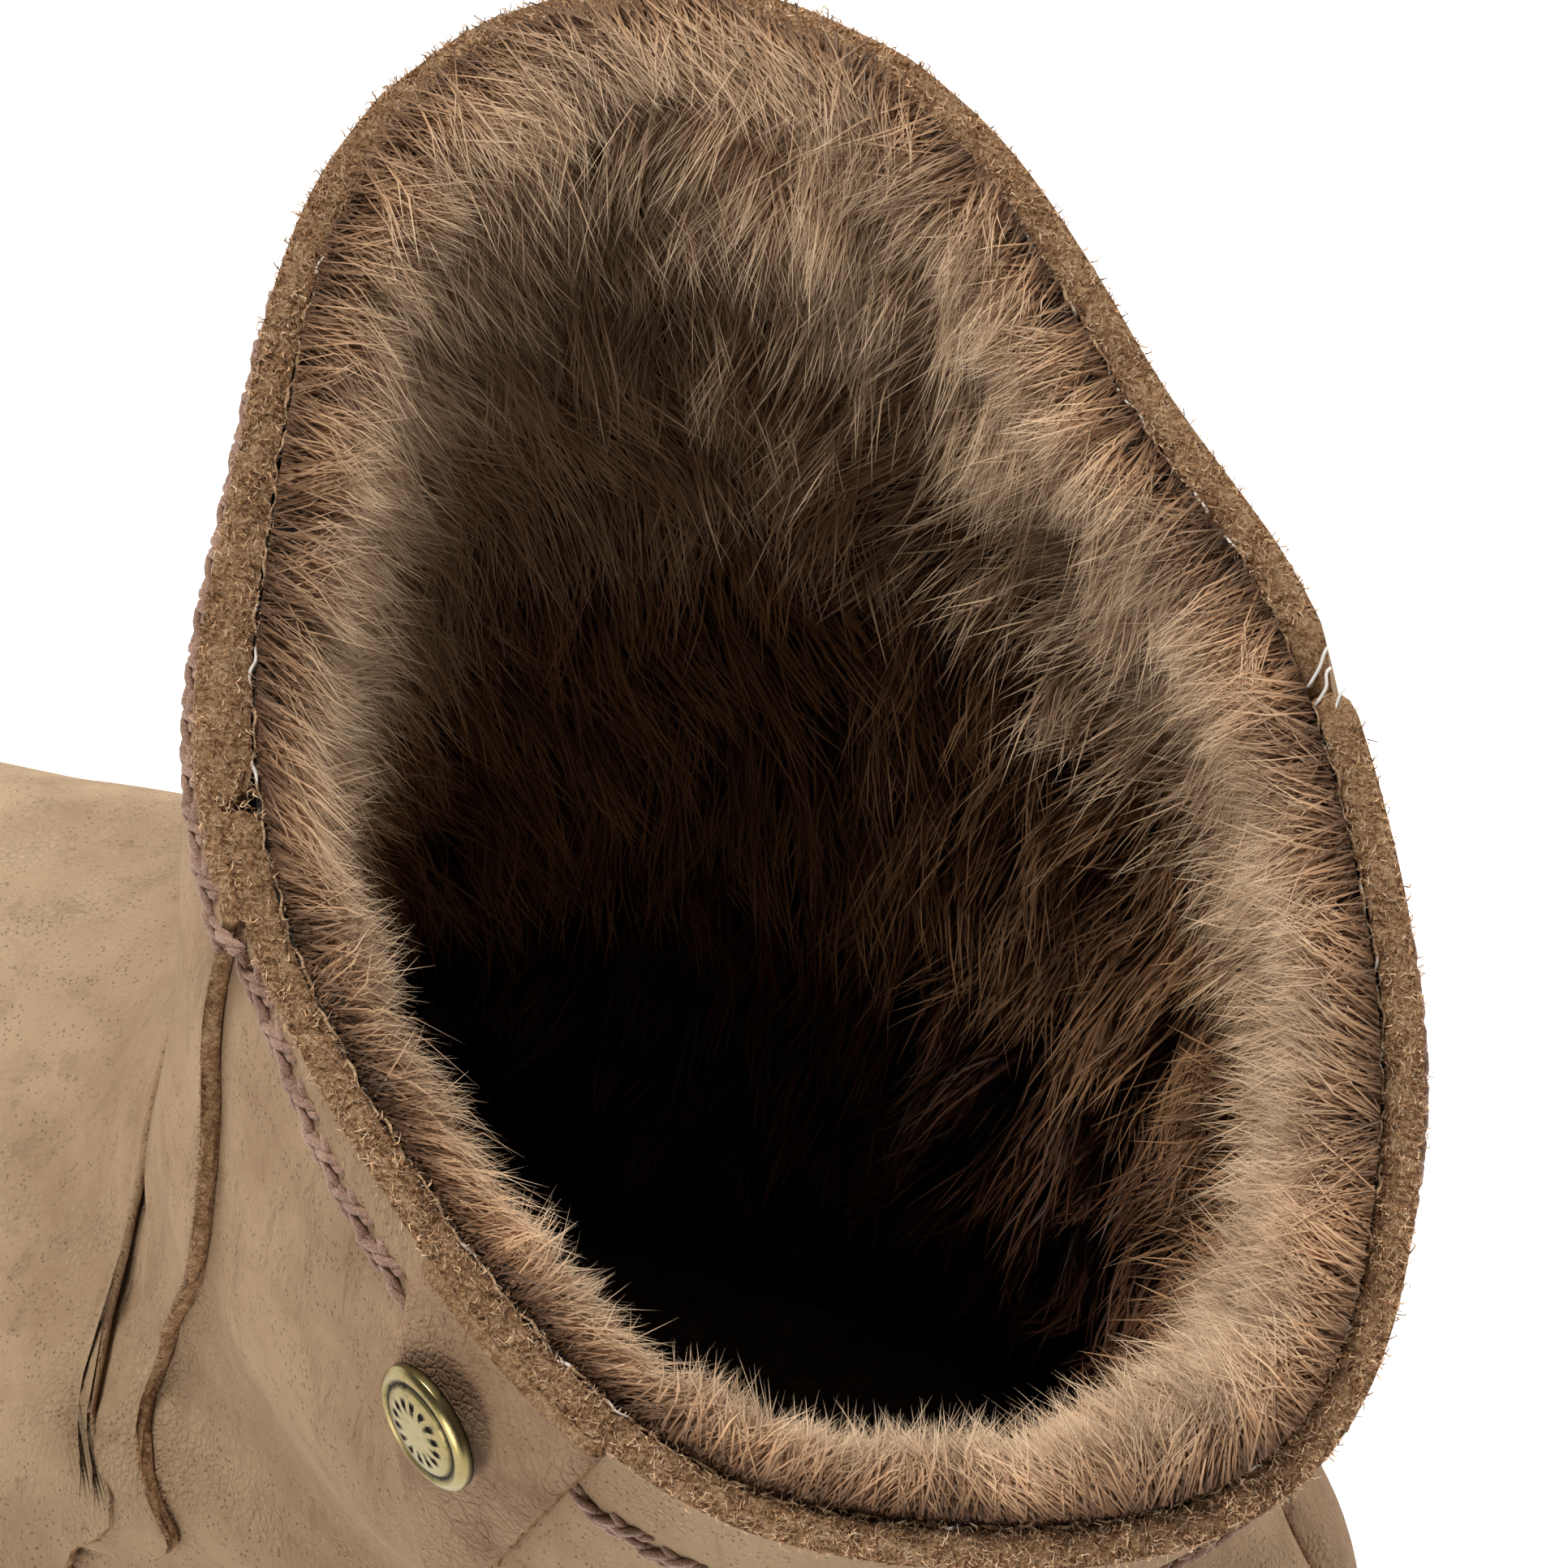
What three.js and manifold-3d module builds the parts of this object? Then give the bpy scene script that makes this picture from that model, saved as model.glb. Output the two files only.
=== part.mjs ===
// A short fur-lined sheepskin boot for the left foot, standing empty on its sole.
// Millimetres, +X to the toe, +Y to the outer side of the foot, +Z up.
// The boot is worked out from the back of the heel, and the last group centres it over the origin.
import * as THREE from "three";
import { mergeVertices } from "three/addons/utils/BufferGeometryUtils.js";
import Module from "manifold-3d";

// Foot and shaft
const footLength = 252; // upper, back of heel to tip of toe
const ballWidth = 101;
const heelWidth = 73;
const archDepth = 8; // inner side pulled in at the waist
const outerWaistDepth = 3;
const toeSkew = 8; // tip of the toe set towards the inner side
const heelCurve = 10; // how far the back leans in above the heel
const toeBoxHeight = 28; // toe cap above the sole
const instepHeight = 100; // front bend between vamp and shaft, above the floor
const collarHeight = 185; // middle of the collar, above the floor
const shaftFront = 114.5; // front of the shaft, from the back of the heel
const shaftWidth = 98;

// Collar: a slack oval, longer from inner front to outer back
const collarCentreX = 57;
const collarCentreY = -1.4;
const collarLongRadius = 73.2;
const collarShortRadius = 45.5;
const collarTurn = -53.2; // degrees of the long axis from the toe
const collarTilt = 9; // degrees that the collar drops
const collarTiltToward = 107; // degrees from the toe to the side that is low
const seamTurn = 34; // degrees that the front seam lies round from the toe line at the collar
const backTurn = 31.8; // the same for the back seam, from the heel line

// Leather, fur and edges
const hide = 3.2; // sheepskin at the collar edge
const lap = 1.8; // leather edge that lies over its neighbour
const lapEdge = 0.035; // radians from the low to the high side of the front seam
const seamDip = 1.2; // back seam sunk into the leather
const seamHalf = 0.05; // radians from the back seam to the flat leather
const clear = 0.3; // between pieces that touch
const furDepth = 8.5;
const lockHeight = 2.4; // locks of fur above and below the mean depth
const lockTiers = 6;
const lockStart = 7; // section where the first tier of locks hangs
const crownRise = 2.5; // fur above the collar edge
const footTuck = 1; // lower edge of the fleece drawn in where it stands on the insole

// Vamp panel, laid over the shaft panels
const vampTopX = 109;
const vampTopZ = 118;
const vampFootX = 152;
const vampCurve = 2;

// Sole
const heelThickness = 24;
const foreThickness = 15;
const toeSpring = 9;
const archLift = 4;
const soleGrow = 2.4; // sole past the upper
const sideGroove = 1.4;
const sideGrooveHeight = 2;
const soleChamfer = 1.5;
const insoleThickness = 5;
const treadPitch = 12;
const treadGroove = 3.2;
const treadDepth = 2.4;

// Tab and button on the outer side
const tabAngle = 39; // degrees round from the front seam
const tabWidth = 21;
const tabLength = 33;
const tabLeather = 2.8;
const buttonDrop = 10.5;
const buttonShift = -3.5; // from the middle of the tab's top edge, towards the toe
const buttonRadius = 5.7;
const buttonDome = 2.4;
const buttonRim = 1.1;
const postRadius = 1.9;

// Steps round and up the forms
const columns = 56;
const footLevels = [0, 0.5, 1, 1.5, 2, 2.5];
const vampLevels = { from: 3, to: 9, count: 14 };
const shaftLevels = { from: 9.6, to: 13, count: 6 };
const liningFoot = 0.55; // section where the fleece stands on the insole
const insideLevels = [0, liningFoot, 1.2, 2, 3, 4, 5.5, 7, 8.2, 9.4, 10.6, 11.8, 13];

// Each row is one section of the upper, from the sole to the collar.
// back, toe, vamp, shaft: share climbed by the back, then by the front up toe cap, vamp and shaft.
// lean: share of the heel curve. run: share of the way from toe tip to shaft front.
// heel, ball: share of the foot's half widths. inner, outer: share of the shaft's half width on each side.
// leg: how far the shaft's width has taken over. square: power of the outline's rounding.
// arch: share of the waist. skew: share of the toe's set. sag: share of the sole's curve.
// turnFront, turnBack: degrees that the columns lie round. lap: share of the front overlap.
// mouth: how far the collar's oval has taken over.
const sectionNames = [
  ...["back", "lean", "run", "toe", "vamp", "shaft", "heel", "ball", "inner", "outer"],
  ...["leg", "square", "arch", "skew", "sag", "turnFront", "turnBack", "lap", "mouth"],
];
const sections = [
  [0, 0.3, 0.02, 0, 0, 0, 0.93, 0.96, 1, 1, 0, 2.5, 1, 1, 1, 0, 0, 0, 0],
  [0.06, 0.05, 0, 0.36, 0, 0, 1, 1, 1, 1, 0, 2.45, 0.95, 1, 0.8, 0, 0, 0, 0],
  [0.12, 0, 0.018, 0.72, 0, 0, 1.02, 1, 1, 1, 0, 2.4, 0.9, 1, 0.55, 0, 0, 0, 0],
  [0.18, 0.15, 0.085, 1, 0, 0, 1, 0.97, 1, 1, 0, 2.3, 0.8, 1, 0.35, 2, 0, 0, 0],
  [0.235, 0.4, 0.205, 1, 0.11, 0, 0.98, 0.935, 1, 1, 0, 2.2, 0.7, 1, 0.2, 10, 0, 0, 0],
  [0.285, 0.7, 0.37, 1, 0.23, 0, 0.95, 0.89, 1, 1, 0, 2.15, 0.65, 0.85, 0.1, 23, 1, 0, 0],
  [0.335, 0.95, 0.546, 1, 0.37, 0, 0.93, 0.86, 1, 1, 0, 2.1, 0.55, 0.6, 0, 46, 3, 0, 0],
  [0.385, 1.05, 0.71, 1, 0.55, 0, 0.93, 0.86, 0.92, 0.95, 0.05, 2.1, 0.4, 0.3, 0, 61, 5, 0.8, 0],
  [0.438, 1, 0.844, 1, 0.76, 0, 0.94, 0.88, 0.88, 0.92, 0.25, 2.1, 0.1, 0.1, 0, 58, 8, 1, 0],
  [0.497, 0.85, 0.936, 1, 1, 0, 0.96, 0.88, 0.9, 0.94, 0.55, 2.05, 0, 0, 0, 42, 12, 1, 0],
  [0.59, 0.6, 0.995, 1, 1, 0.21, 1, 0.9, 0.94, 1.04, 0.85, 2, 0, 0, 0, 36, 18, 1, 0.05],
  [0.72, 0.35, 1.015, 1, 1, 0.47, 1, 0.9, 0.99, 1.19, 1, 2, 0, 0, 0, 37, 24, 1, 0.25],
  [0.863, 0.2, 1.025, 1, 1, 0.74, 1, 0.9, 1.02, 1.23, 1, 2, 0, 0, 0, 34, 28, 1, 0.58],
  [1, 0.15, 1, 1, 1, 1, 1, 0.9, 1.05, 1.2, 1, 2, 0, 0, 0, seamTurn, backTurn, 1, 1],
];
const lastSection = sections.length - 1;

// Where the slack collar leaves its oval: degrees from the toe, share of the short radius, spread in degrees.
const collarBulges = [
  { at: -115, out: -0.068, spread: 15 },
  { at: -79, out: 0.058, spread: 12 },
  { at: -17, out: -0.058, spread: 14 },
  { at: 33, out: 0.034, spread: 18 },
  { at: 119, out: -0.092, spread: 12 },
  { at: 144, out: 0.052, spread: 10 },
  { at: 168, out: 0.026, spread: 14 },
];

// Outline of the tab, from the collar down: shares of its length and of its half width on each side.
const tabRows = [
  { down: 0, toe: 1, heel: 1 },
  { down: 0.12, toe: 1.04, heel: 0.89 },
  { down: 0.24, toe: 0.97, heel: 0.78 },
  { down: 0.36, toe: 0.91, heel: 0.67 },
  { down: 0.48, toe: 0.81, heel: 0.56 },
  { down: 0.6, toe: 0.7, heel: 0.45 },
  { down: 0.73, toe: 0.58, heel: 0.33 },
  { down: 0.85, toe: 0.43, heel: 0.19 },
  { down: 0.95, toe: 0.27, heel: 0.03 },
  { down: 1, toe: 0.16, heel: -0.06 },
];

const radians = THREE.MathUtils.degToRad;
const mix = THREE.MathUtils.lerp;
const smooth = THREE.MathUtils.smoothstep;
const wrap = (angle) => THREE.MathUtils.euclideanModulo(angle + Math.PI, 2 * Math.PI) - Math.PI;
const power = (value, n) => Math.sign(value) * Math.abs(value) ** n;

const wasm = await Module();
wasm.setup();

// Curve of the sole along its length

const springStart = 0.76;
const archStart = 0.3;
const archEnd = 0.6;

function spring(x) {
  return toeSpring * smooth(x / footLength, springStart, 1.02) ** 1.3;
}

function soleTop(x) {
  const fall = smooth(x / footLength, 0.2, 0.68);
  return mix(heelThickness, foreThickness, fall) + spring(x);
}

function soleBottom(x) {
  const share = THREE.MathUtils.clamp((x / footLength - archStart) / (archEnd - archStart), 0, 1);
  return archLift * Math.sin(share * Math.PI) ** 2 + spring(x);
}

// The upper's own function

// The table's columns at a place between two rows, by a Catmull-Rom curve.
function section(v) {
  const i = Math.min(Math.floor(v), lastSection - 1);
  const t = v - i;
  const at = {};
  sectionNames.forEach((name, n) => {
    const b = sections[i][n];
    const c = sections[i + 1][n];
    const a = i > 0 ? sections[i - 1][n] : 2 * b - c;
    const d = i + 1 < lastSection ? sections[i + 2][n] : 2 * c - b;
    at[name] = b + 0.5 * t * (c - a + t * (2 * a - 5 * b + 4 * c - d + t * (3 * (b - c) + d - a)));
  });
  return at;
}

function collarPoint(angle) {
  const turn = radians(collarTurn);
  const along = collarLongRadius * Math.cos(angle - turn);
  const across = collarShortRadius * Math.sin(angle - turn);
  const x = along * Math.cos(turn) - across * Math.sin(turn);
  const y = along * Math.sin(turn) + across * Math.cos(turn);
  const place = Math.atan2(y, x);
  let out = 0;
  for (const bulge of collarBulges) {
    const off = wrap(place - radians(bulge.at)) / radians(bulge.spread);
    out += bulge.out * collarShortRadius * Math.exp(-0.5 * off * off);
  }
  const px = x + out * Math.cos(place);
  const py = y + out * Math.sin(place);
  return new THREE.Vector2(collarCentreX + px, collarCentreY + py);
}

// How far the tilted collar lies below its middle.
function collarDrop(x, y) {
  const low = radians(collarTiltToward);
  const along = (x - collarCentreX) * Math.cos(low) + (y - collarCentreY) * Math.sin(low);
  return Math.tan(radians(collarTilt)) * along;
}

// A point of the outside of the boot. v runs up the sections and angle goes round from the front seam.
function skin(v, angle) {
  const s = section(v);
  const back = (1 - Math.cos(angle)) / 2;
  const turned = angle + radians(mix(s.turnFront, s.turnBack, back));
  const share = 0.5 + 0.5 * power(Math.cos(turned), 2 / s.square);
  const side = power(Math.sin(turned), 2 / s.square);
  const featherFront = soleTop(footLength) + clear;
  const featherBack = heelThickness + clear;
  const backX = heelCurve * s.lean;
  const frontX = mix(footLength, shaftFront, s.run);
  const backZ = mix(featherBack, collarHeight, s.back);
  const toeTop = featherFront + toeBoxHeight * s.toe;
  const frontZ = toeTop + (instepHeight - featherFront - toeBoxHeight) * s.vamp
    + (collarHeight - instepHeight) * s.shaft;
  const x = mix(backX, frontX, share);
  const footHalf = mix(heelWidth * s.heel, ballWidth * s.ball, smooth(share, 0.05, 0.72)) / 2;
  const waist = Math.exp(-(((share - 0.42) / 0.15) ** 2)) * s.arch;
  const waistDepth = side < 0 ? archDepth : outerWaistDepth;
  const shaftHalf = (shaftWidth / 2) * (side < 0 ? s.inner : s.outer);
  const half = mix(footHalf - waist * waistDepth, shaftHalf, s.leg);
  const set = -toeSkew * s.skew * smooth(share, 0.35, 1.1);
  const sag = (soleTop(x) + clear - mix(featherBack, featherFront, x / footLength)) * s.sag;
  const plan = new THREE.Vector2(x, set + half * side).lerp(collarPoint(turned), s.mouth);
  const drop = collarDrop(plan.x, plan.y) * s.mouth;
  return new THREE.Vector3(plan.x, plan.y, mix(backZ, frontZ, share) + sag - drop);
}

function outward(v, angle) {
  const step = 0.02;
  const up = skin(Math.min(v + step, lastSection), angle).sub(skin(Math.max(v - step, 0), angle));
  const round = skin(v, angle + step).sub(skin(v, angle - step));
  return round.cross(up).normalize();
}

// What the front overlap and the sunk back seam add to the outside of the leather.
function seamRelief(v, angle) {
  const s = section(v);
  const fromSeam = -wrap(angle);
  const overlap = fromSeam > 0 ? smooth(fromSeam, 0, lapEdge) * (1 - smooth(fromSeam, 0.25, 1.1)) : 0;
  const fromBack = Math.abs(wrap(angle - Math.PI));
  const dip = 1 - Math.min(fromBack / seamHalf, 1);
  return lap * THREE.MathUtils.clamp(s.lap, 0, 1) * overlap - seamDip * dip * smooth(v, 0, 3);
}

function surface(v, angle, out, relief = false) {
  const bump = relief ? seamRelief(v, angle) : 0;
  return skin(v, angle).addScaledVector(outward(v, angle), out + bump);
}

// Meshes from rings of points

function toSolid(geometry) {
  const bare = geometry.clone();
  bare.deleteAttribute("normal");
  bare.deleteAttribute("uv");
  const merged = mergeVertices(bare, 1e-4);
  const mesh = new wasm.Mesh({
    numProp: 3,
    vertProperties: new Float32Array(merged.attributes.position.array),
    triVerts: new Uint32Array(merged.index.array),
  });
  return new wasm.Manifold(mesh);
}

function toGeometry(solid) {
  const mesh = solid.getMesh();
  const geometry = new THREE.BufferGeometry();
  geometry.setAttribute("position", new THREE.BufferAttribute(mesh.vertProperties, 3));
  geometry.setIndex(new THREE.BufferAttribute(mesh.triVerts, 1));
  geometry.computeVertexNormals();
  return geometry;
}

function indexed(points, faces) {
  const geometry = new THREE.BufferGeometry().setFromPoints(points);
  geometry.setIndex(faces);
  geometry.computeVertexNormals();
  return geometry;
}

// Rings up the outside and down the inside make a hollow body open at both ends.
// Both sides are cut into triangles along the same diagonals, so that a lining lies flat against its wall.
function hollow(up, down) {
  const rings = [...up, ...down];
  const around = rings[0].length;
  const faces = [];
  rings.forEach((ring, j) => {
    const here = j * around;
    const next = ((j + 1) % rings.length) * around;
    for (let i = 0; i < around; i++) {
      const k = (i + 1) % around;
      if (j < up.length) faces.push(here + i, here + k, next + k, here + i, next + k, next + i);
      else faces.push(here + i, here + k, next + i, here + k, next + k, next + i);
    }
  });
  return indexed(rings.flat(), faces);
}

// Rings stacked from the bottom up and closed across with strips from side to side.
function slab(rings) {
  const around = rings[0].length;
  const faces = [];
  for (let j = 0; j + 1 < rings.length; j++) {
    for (let i = 0; i < around; i++) {
      const k = (i + 1) % around;
      const [a, b] = [j * around, (j + 1) * around];
      faces.push(a + i, a + k, b + k, a + i, b + k, b + i);
    }
  }
  const top = (rings.length - 1) * around;
  for (let i = 0; i < around / 2; i++) {
    const [a, b] = [i, i + 1];
    const [c, d] = [(around - i - 1) % around, (around - i) % around];
    faces.push(a, c, b, top + a, top + b, top + c);
    if (a !== d) faces.push(a, d, c, top + a, top + c, top + d);
  }
  return indexed(rings.flat(), faces.filter((f, n, all) => !flat(all, n)));
}

// A face that lies on one edge, where a strip closes at the heel or toe.
function flat(all, n) {
  const [a, b, c] = all.slice(n - (n % 3), n - (n % 3) + 3);
  return a === b || b === c || a === c;
}

const evenAngles = Array.from({ length: columns }, (_, i) => (i * 2 * Math.PI) / columns);
const seamAngles = [...evenAngles, 2 * Math.PI - lapEdge, Math.PI - seamHalf, Math.PI + seamHalf].sort(
  (a, b) => a - b,
);

function spread(from, to, count) {
  return Array.from({ length: count }, (_, j) => mix(from, to, j / (count - 1)));
}

// Upper: one hollow body with the overlap at the front seam and the step of the vamp panel

function leatherRing(v, out) {
  return seamAngles.map((angle) => {
    const point = surface(v, angle, out, out >= 0);
    if (v === 0) point.z = soleTop(point.x) + clear;
    return point;
  });
}

const panelFoot = 0.12; // the vamp panel starts just above the wall's own lower edge

function vampEdge(z) {
  const down = (vampTopZ - z) / (vampTopZ - foreThickness);
  return mix(vampTopX, vampFootX, Math.max(down, 0) ** vampCurve);
}

function vampBlock() {
  const outline = new THREE.Shape();
  const heights = spread(vampTopZ, 0, 9);
  const past = footLength * 1.2;
  outline.moveTo(past, 0);
  outline.lineTo(past, vampTopZ);
  for (const z of heights) outline.lineTo(vampEdge(z), z);
  const block = new THREE.ExtrudeGeometry(outline, { depth: 2 * ballWidth, bevelEnabled: false });
  block.rotateX(Math.PI / 2);
  block.translate(0, ballWidth, 0);
  return block;
}

function makeUpper() {
  const vamp = spread(vampLevels.from, vampLevels.to, vampLevels.count);
  const shaft = spread(shaftLevels.from, shaftLevels.to, shaftLevels.count);
  const outside = [...footLevels, ...vamp, ...shaft];
  const inside = insideLevels.toReversed();
  const wall = hollow(
    outside.map((v) => leatherRing(v, 0)),
    inside.map((v) => leatherRing(v, -hide)),
  );
  const covered = [panelFoot, ...footLevels.slice(1), ...vamp, ...shaft.slice(0, 3)];
  const behind = [...inside.filter((v) => v > panelFoot && v < shaft[2]), panelFoot];
  const panel = hollow(
    covered.map((v) => leatherRing(v, lap)),
    behind.map((v) => leatherRing(v, -hide / 2)),
  );
  return toGeometry(toSolid(wall).add(toSolid(panel).intersect(toSolid(vampBlock()))));
}

// Fleece: hollow, with tiers of locks that hang over each other inside and a crown at the collar

// hang runs from 0 at the roots of a tier to 1 at its tips.
function lockDepth(tier, hang, angle) {
  const comb = Math.cos((angle * columns) / 2 + tier * Math.PI) * 0.5;
  return furDepth + lockHeight * (comb + hang - 0.5);
}

function makeLining() {
  const outside = hide + clear;
  const floorAt = (x) => soleTop(x) + 2 * clear + insoleThickness;
  const ring = (v, depth) =>
    seamAngles.map((angle) => {
      const tuck = v === liningFoot ? footTuck : 0;
      const point = surface(v, angle, -outside - tuck - depth(angle));
      point.z = v === liningFoot ? floorAt(point.x) : Math.max(point.z, floorAt(point.x) + (v - liningFoot));
      return point;
    });
  const back = insideLevels.slice(1).map((v) => ring(v, () => 0));
  const plain = [liningFoot, 2, 3.5, 5].map((v) => ring(v, () => furDepth));
  const tierHeight = (lastSection - lockStart) / lockTiers;
  const tiers = Array.from({ length: lockTiers }, (_, tier) => {
    const from = lockStart + tier * tierHeight;
    const stops = [
      { up: 0, hang: 1 },
      { up: 0.5, hang: 0.6 },
      { up: 0.92, hang: 0 },
    ];
    return stops.map((s) => ring(from + s.up * tierHeight, (angle) => lockDepth(tier, s.hang, angle)));
  }).flat();
  const crown = seamAngles.map((angle, i) => {
    const point = surface(lastSection, angle, -outside - furDepth * 0.45);
    point.z += crownRise * (i % 2 ? 1 : 0.45);
    return point;
  });
  const edge = ring(lastSection, (angle) => lockDepth(lockTiers, 0.5, angle));
  return hollow([...back, crown], [edge, ...tiers.toReversed(), ...plain.toReversed()]);
}

// Sole and insole

// The bottom outline of the upper, moved outwards in plan.
function outline(grow) {
  return evenAngles.map((angle) => {
    const point = skin(0, angle);
    const out = outward(0, angle).setZ(0).normalize();
    return point.addScaledVector(out, grow);
  });
}

function layer(grow, height) {
  return outline(grow).map((p) => new THREE.Vector3(p.x, p.y, height(p.x)));
}

function makeOutsole() {
  const middle = (x) => mix(soleBottom(x), soleTop(x), 0.55);
  const rings = [
    layer(soleGrow - soleChamfer, soleBottom),
    layer(soleGrow, (x) => soleBottom(x) + soleChamfer),
    layer(soleGrow, (x) => middle(x) - sideGrooveHeight / 2),
    layer(soleGrow - sideGroove, middle),
    layer(soleGrow, (x) => middle(x) + sideGrooveHeight / 2),
    layer(soleGrow, (x) => soleTop(x) - soleChamfer / 2),
    layer(soleGrow - soleChamfer / 2, soleTop),
  ];
  let sole = toSolid(slab(rings));
  for (const x of treadPlaces()) {
    const groove = new THREE.BoxGeometry(treadGroove, 2 * ballWidth, 2 * treadDepth);
    groove.translate(x, 0, 0);
    sole = sole.subtract(toSolid(groove));
  }
  return toGeometry(sole);
}

// Middles of the tread's grooves, in the flat stretches under heel and forefoot.
function treadPlaces() {
  const stretches = [
    [0.07 * footLength, archStart * footLength],
    [archEnd * footLength, springStart * footLength],
  ];
  return stretches.flatMap(([from, to]) => {
    const count = Math.floor((to - from) / treadPitch);
    return Array.from({ length: count }, (_, i) => from + (i + 0.5) * treadPitch);
  });
}

function makeInsole() {
  const grow = -hide - 3 * clear;
  return slab([
    layer(grow, (x) => soleTop(x) + clear),
    layer(grow, (x) => soleTop(x) + clear + insoleThickness),
  ]);
}

// Tab and button

// The place on the upper for a point of the tab, which hangs straight down from the collar.
function tabSpot(across, drop) {
  const top = radians(tabAngle);
  const hung = skin(lastSection, top);
  const along = skin(lastSection, top + 0.05).sub(skin(lastSection, top - 0.05)).setZ(0).normalize();
  const v = lastSection - drop / hung.distanceTo(skin(lastSection - 1, top));
  let angle = top;
  for (let pass = 0; pass < 4; pass++) {
    const miss = across - skin(v, angle).sub(hung).dot(along);
    angle += miss / ((shaftWidth + collarLongRadius) / 3);
  }
  return { v, angle };
}

function tabPlace(across, drop, out) {
  const spot = tabSpot(across, drop);
  return surface(spot.v, spot.angle, out);
}

function makeTab() {
  const steps = 8;
  const sheet = (out) =>
    tabRows.map((row) =>
      spread((-row.toe * tabWidth) / 2, (row.heel * tabWidth) / 2, steps + 1).map((across) =>
        tabPlace(across, row.down * tabLength, out),
      ),
    );
  const inside = sheet(clear);
  const outside = sheet(clear + tabLeather);
  const points = [...inside.flat(), ...outside.flat()];
  const wide = steps + 1;
  const half = inside.length * wide;
  const faces = [];
  const quad = (a, b, c, d) => faces.push(a, b, c, a, c, d);
  for (let j = 0; j + 1 < inside.length; j++) {
    for (let i = 0; i < steps; i++) {
      const a = j * wide + i;
      quad(a, a + 1, a + wide + 1, a + wide);
      quad(half + a, half + a + wide, half + a + wide + 1, half + a + 1);
    }
    const [left, right] = [j * wide, j * wide + steps];
    quad(left, left + wide, half + left + wide, half + left);
    quad(right, half + right, half + right + wide, right + wide);
  }
  const foot = (inside.length - 1) * wide;
  for (let i = 0; i < steps; i++) {
    quad(i, half + i, half + i + 1, i + 1);
    quad(foot + i, foot + i + 1, half + foot + i + 1, half + foot + i);
  }
  const hole = new THREE.CylinderGeometry(postRadius + clear, postRadius + clear, 4 * tabLeather, 16);
  return toGeometry(toSolid(indexed(points, faces)).subtract(toSolid(placeOnTab(hole))));
}

// Turns a shape made along +Y so that it stands on the leather under the button.
function placeOnTab(geometry) {
  const { v, angle } = tabSpot(buttonShift, buttonDrop);
  const normal = outward(v, angle);
  geometry.applyQuaternion(new THREE.Quaternion().setFromUnitVectors(new THREE.Vector3(0, 1, 0), normal));
  const base = skin(v, angle);
  return geometry.translate(base.x, base.y, base.z);
}

function makeButton() {
  const seat = clear + tabLeather + 2 * clear;
  const profile = [new THREE.Vector2(0, 2 * clear), new THREE.Vector2(postRadius, 2 * clear)];
  profile.push(new THREE.Vector2(postRadius, seat));
  profile.push(new THREE.Vector2(buttonRadius - 0.3, seat));
  profile.push(new THREE.Vector2(buttonRadius, seat + 0.35));
  profile.push(new THREE.Vector2(buttonRadius, seat + buttonRim));
  const domeSteps = 5;
  for (let i = 1; i < domeSteps; i++) {
    const t = (i / domeSteps) * (Math.PI / 2);
    profile.push(new THREE.Vector2(buttonRadius * Math.cos(t), seat + buttonRim + (buttonDome - buttonRim) * Math.sin(t)));
  }
  profile.push(new THREE.Vector2(0, seat + buttonDome));
  return placeOnTab(new THREE.LatheGeometry(profile, 24));
}

// The boot

const finishes = {
  nubuck: new THREE.MeshStandardMaterial({ color: 0xa68a6e, roughness: 0.92, metalness: 0 }),
  fleece: new THREE.MeshStandardMaterial({ color: 0xa98c6c, roughness: 1, metalness: 0 }),
  leather: new THREE.MeshStandardMaterial({ color: 0xaa876c, roughness: 0.7, metalness: 0 }),
  rubber: new THREE.MeshStandardMaterial({ color: 0x8a7660, roughness: 0.85, metalness: 0 }),
  brass: new THREE.MeshStandardMaterial({ color: 0x968750, roughness: 0.35, metalness: 1 }),
};

function named(name, geometry, material) {
  const mesh = new THREE.Mesh(geometry, material);
  mesh.name = name;
  return mesh;
}

const pieces = new THREE.Group();
pieces.add(named("upper", makeUpper(), finishes.nubuck));
pieces.add(named("fleece_lining", makeLining(), finishes.fleece));
pieces.add(named("insole", makeInsole(), finishes.fleece));
pieces.add(named("outsole", makeOutsole(), finishes.rubber));
pieces.add(named("tab", makeTab(), finishes.leather));
pieces.add(named("button", makeButton(), finishes.brass));

const bounds = new THREE.Box3().setFromObject(pieces);
const middle = bounds.getCenter(new THREE.Vector3());
pieces.position.set(-middle.x, -middle.y, -bounds.min.z);

const boot = new THREE.Group();
boot.add(pieces);

export default boot;
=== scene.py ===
import math

import bpy
import numpy as np
from bpy.props import FloatProperty, FloatVectorProperty, IntProperty, PointerProperty
from mathutils import Matrix, Vector


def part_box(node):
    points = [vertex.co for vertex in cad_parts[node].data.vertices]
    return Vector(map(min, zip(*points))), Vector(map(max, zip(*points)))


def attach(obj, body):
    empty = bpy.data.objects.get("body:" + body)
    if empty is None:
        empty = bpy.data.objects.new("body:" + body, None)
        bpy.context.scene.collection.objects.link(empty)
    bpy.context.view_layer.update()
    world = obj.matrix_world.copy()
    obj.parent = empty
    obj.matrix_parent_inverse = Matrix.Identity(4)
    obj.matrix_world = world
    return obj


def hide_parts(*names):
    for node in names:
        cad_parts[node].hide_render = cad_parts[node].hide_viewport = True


bl_info = {
    "name": "Sheepskin Boot",
    "version": (1, 0, 0),
    "blender": (4, 5, 0),
    "location": "View3D > Sidebar > Boot",
    "description": "Leather, fleece, stitching, tab, button and sole of a short fur-lined boot",
    "category": "Add Mesh",
}

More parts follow.
